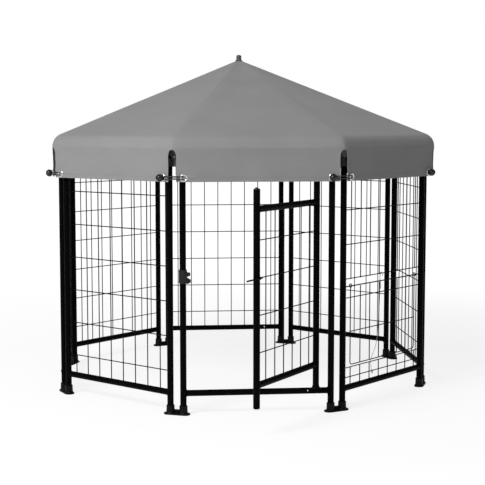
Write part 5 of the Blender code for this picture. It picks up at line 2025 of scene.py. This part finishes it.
@dataclass
class Fastenings:
    """The grommets in the valance and the ball bungees through them."""

    ring: Ring
    roof: Roof
    post_radius: float = 0.0125
    cord_radius: float = 0.0020
    strand_gap: float = 0.0052
    edge_x: float = 0.017
    edge_lift: float = 0.0014
    edge_crown: float = 0.0004
    post_gap: float = 0.0006
    spread_behind: float = 0.55
    front: tuple[Spot, ...] = (
        (0.030, 0.0082, 1.0), (0.0380, 0.0046, 1.0), (0.0430, -0.0036, 0.9), (0.044, -0.016, 0.8))
    back: tuple[Station, ...] = ((0.0, 0.006), (-0.0018, 0.0018), (-0.006, 0.0))
    ball_radius: float = 0.015
    parting: float = 0.0005
    mouth_from: float = 0.93
    mouth_rim: float = 0.0006
    mouth_depth: float = 0.0022
    eyelet: Profile = ((-2.6, 14.8), (-3.1, 13), (-2.8, 10.6), (-1.8, 9.2), (0, 8.8), (1.2, 9.2), (2.2, 10.4),
                       (2.6, 12.2), (2.3, 14), (1.3, 15.2), (0.2, 15.5), (-1.2, 15))

    def spot(self, side: float) -> Vector:
        """A grommet's middle on the face of the valance, in a corner's frame.

        Args:
            side: -1 for the left grommet, 1 for the right one.

        Returns:
            The grommet's middle.
        """
        aside = self.roof.grommet_x
        radius = (self.roof.apothem - aside * sin(self.ring.half_step)) / cos(self.ring.half_step)
        return Vector((side * aside, -radius, self.roof.grommet_z))

    def way(self, side: float) -> Vector:
        """The valance's outward direction at that grommet."""
        return Vector((side * sin(self.ring.half_step), -cos(self.ring.half_step), 0.0))

    def strand_route(self, level: float) -> list[Vector]:
        """One strand of the doubled elastic: over the slot, through both grommets, behind the posts.

        Args:
            level: -1 for the lower strand, 1 for the upper one.

        Returns:
            The route's points.
        """
        half_step, hole = self.ring.half_step, -self.spot(1.0).y
        rim = (self.roof.apothem - self.edge_x * sin(half_step)) / cos(half_step)
        edge = rim + self.cord_radius + self.edge_lift
        behind = self.ring.corner_radius - self.post_radius - self.cord_radius - self.post_gap
        wide = level * self.strand_gap
        half = [(0.0, edge + self.edge_crown, wide), (self.edge_x, edge, wide)]
        half += [(x, hole + out, wide * spread) for x, out, spread in self.front]
        half += [(self.roof.grommet_x + x, behind + out, wide * self.spread_behind) for x, out in self.back]
        points = [(x, -radius, self.roof.grommet_z + z) for x, radius, z in half]
        return eased(points + [(-x, y, z) for x, y, z in reversed(points[1:])], 4, closed=True)

    def ball(self) -> Thing:
        """Makes the moulded ball with its parting line and cord mouth.

        Returns:
            The ball.
        """
        Bench.clear()
        size = self.ball_radius
        bpy.ops.mesh.primitive_uv_sphere_add(segments=40, ring_count=24, radius=size)
        made = bpy.context.object
        with Bench.editing(made, Kind.FACE):
            Bench.choose(made, Kind.FACE, lambda at, way: at.z > size * self.mouth_from)
            bpy.ops.mesh.inset(thickness=self.mouth_rim)
            bpy.ops.mesh.inset(thickness=self.mouth_rim, depth=-self.mouth_depth)
        Bench.rounded(made, lambda at, way: abs(at.z) < NEAR, self.parting, 2, profile=0.15)
        return Bench.aimed(made, self.spot(-1.0) + self.way(-1.0) * (size + self.post_gap), self.way(-1.0))

    def build(self, shop: Shop) -> None:
        """Builds the grommets and bungees and hands them over.

        Args:
            shop: the shop that takes the pieces.
        """
        rings = Bench.joined([
            Bench.aimed(Bench.lathe(self.eyelet, 36, ring=True), self.spot(side), self.way(side))
            for side in (-1.0, 1.0)])
        loops = Bench.joined([swept("strand", self.strand_route(level), self.cord_radius, 12, True, UP)
                              for level in (-1.0, 1.0)])
        shop.at_corners((rings, "grommets_after_", Finish.NICKEL, ""),
                        (loops, "elastic_after_", Finish.ELASTIC, "bungee_after_"),
                        (self.ball(), "ball_after_", Finish.RUBBER, ""))


# The studio


@dataclass
class Studio:
    """Pale floor, soft lamps and the camera."""

    eye: Spot = (-0.532, -5.3972, 1.150)
    yaw: float = 0.0976
    dip: float = 0.0970
    focal: float = 1250.0
    image_width: float = 485.0
    floor_size: float = 60.0
    lit_floor: float = 1.4
    far_floor: float = 6.0
    glow: Station = (0.82, 0.97)
    paint: Spot = (0.80, 0.80, 0.80)
    shade: Spot = (0.20, 0.20, 0.20)
    air: float = 0.25
    lamps: tuple[tuple[str, Spot, Spot, float, float], ...] = (
        ("key", (-3.7, -3.9, 4.5), (0.0, 0.2, 0.9), 2.6, 388.0),
        ("fill", (3.9, -3.2, 2.2), (0.0, 0.2, 0.8), 3.5, 15.0),
        ("back", (1.5, 4.8, 3.0), (0.0, 0.2, 0.8), 3.0, 30.0))

    def floor(self) -> None:
        """Lays the floor, white to the camera apart from the shelter's shadow."""
        Bench.clear()
        bpy.ops.mesh.primitive_plane_add(size=self.floor_size, location=(0.0, 0.0, 0.0))
        ground = bpy.context.object
        ground.name = "studio_floor"
        with Bench.editing(ground, Kind.FACE, True):
            bpy.ops.mesh.subdivide(number_cuts=4)
        bench = NodeBench("studio_floor_paint")
        away = bench.node("VectorMath", bench.place(), operation="LENGTH").outputs["Value"]
        strength = bench.ranged(away, self.lit_floor, self.far_floor, *self.glow)
        glow = bench.node("Emission", (1.0, 1.0, 1.0), strength).outputs["Emission"]
        shadow = bench.node("BsdfDiffuse", self.shade).outputs["BSDF"]
        both = bench.node("AddShader", shadow, glow).outputs["Shader"]
        path = bench.node("LightPath").outputs
        seen = bench.math("MAXIMUM", path["Is Camera Ray"], path["Is Glossy Ray"])
        paint = bench.dress(Base_Color=self.paint, Roughness=0.9, Specular_IOR_Level=0.1)
        ground.data.materials.append(paint)
        plain = bench.tree.nodes["Principled BSDF"].outputs["BSDF"]
        mixed = bench.node("MixShader", seen, plain, both).outputs["Shader"]
        bench.feed(bench.tree.nodes["Material Output"].inputs["Surface"], mixed)

    def sky(self) -> None:
        """Sets a dim even world that the camera sees as white."""
        world = bpy.data.worlds.new("studio_air")
        world.use_nodes = True
        bpy.context.scene.world = world
        nodes, links = world.node_tree.nodes, world.node_tree.links
        mix = nodes.new("ShaderNodeMixShader")
        links.new(nodes.new("ShaderNodeLightPath").outputs["Is Camera Ray"], mix.inputs["Fac"])
        airs = (nodes["Background"], self.air), (nodes.new("ShaderNodeBackground"), 1.0)
        for slot, (air, strength) in enumerate(airs, 1):
            air.inputs["Color"].default_value = (1.0, 1.0, 1.0, 1.0)
            air.inputs["Strength"].default_value = strength
            links.new(air.outputs["Background"], mix.inputs[slot])
        links.new(mix.outputs["Shader"], nodes["World Output"].inputs["Surface"])

    def light(self) -> None:
        """Hangs the soft lamps."""
        for name, spot, aim, size, power in self.lamps:
            lamp = bpy.data.lights.new(name, "AREA")
            lamp.shape = "DISK"
            lamp.size = size
            lamp.energy = power
            made = bpy.data.objects.new(name, lamp)
            made.location = spot
            made.rotation_euler = (Vector(aim) - Vector(spot)).to_track_quat("-Z", "Y").to_euler()
            bpy.context.scene.collection.objects.link(made)

    def camera(self) -> None:
        """Sets up the camera at the photograph's viewing angle."""
        lens = bpy.data.cameras.new("photo_camera")
        lens.sensor_fit = "HORIZONTAL"
        lens.sensor_width = 36.0
        lens.lens = self.focal / self.image_width * lens.sensor_width
        made = bpy.data.objects.new("photo_camera", lens)
        made.location = self.eye
        made.rotation_euler = (pi / 2.0 - self.dip, 0.0, -self.yaw)
        bpy.context.scene.collection.objects.link(made)
        bpy.context.scene.camera = made

    def build(self) -> None:
        """Sets the whole studio up."""
        self.camera()
        self.sky()
        self.light()
        self.floor()
        bpy.context.scene.view_settings.view_transform = "Standard"


def main() -> None:
    """Loads the frame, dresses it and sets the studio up."""
    logging.basicConfig(level=logging.INFO, format="%(name)s: %(message)s")
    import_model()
    low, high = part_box("roof_hub")
    ring = Ring(middle=Vector(((low.x + high.x) / 2.0, (low.y + high.y) / 2.0, 0.0)))
    shop = Shop(ring)
    Studio().build()
    tubes, wires, roof = TubeWork(), WireWork(), Roof(ring)
    panels = Panels(ring, tubes, wires)
    Hatch(ring, wires, panels).build(shop)
    panels.build(shop)
    Gate(ring, tubes, wires, panels).build(shop)
    Latch(ring).build(shop)
    Foot(ring).build(shop)
    CornerBracket(ring, roof).build(shop)
    RoofFrame(ring, roof).build(shop)
    Canopy(ring, roof).build(shop)
    Fastenings(ring, roof).build(shop)
    LOG.info("%d pieces in all", shop.count)


if __name__ == "__main__":
    main()
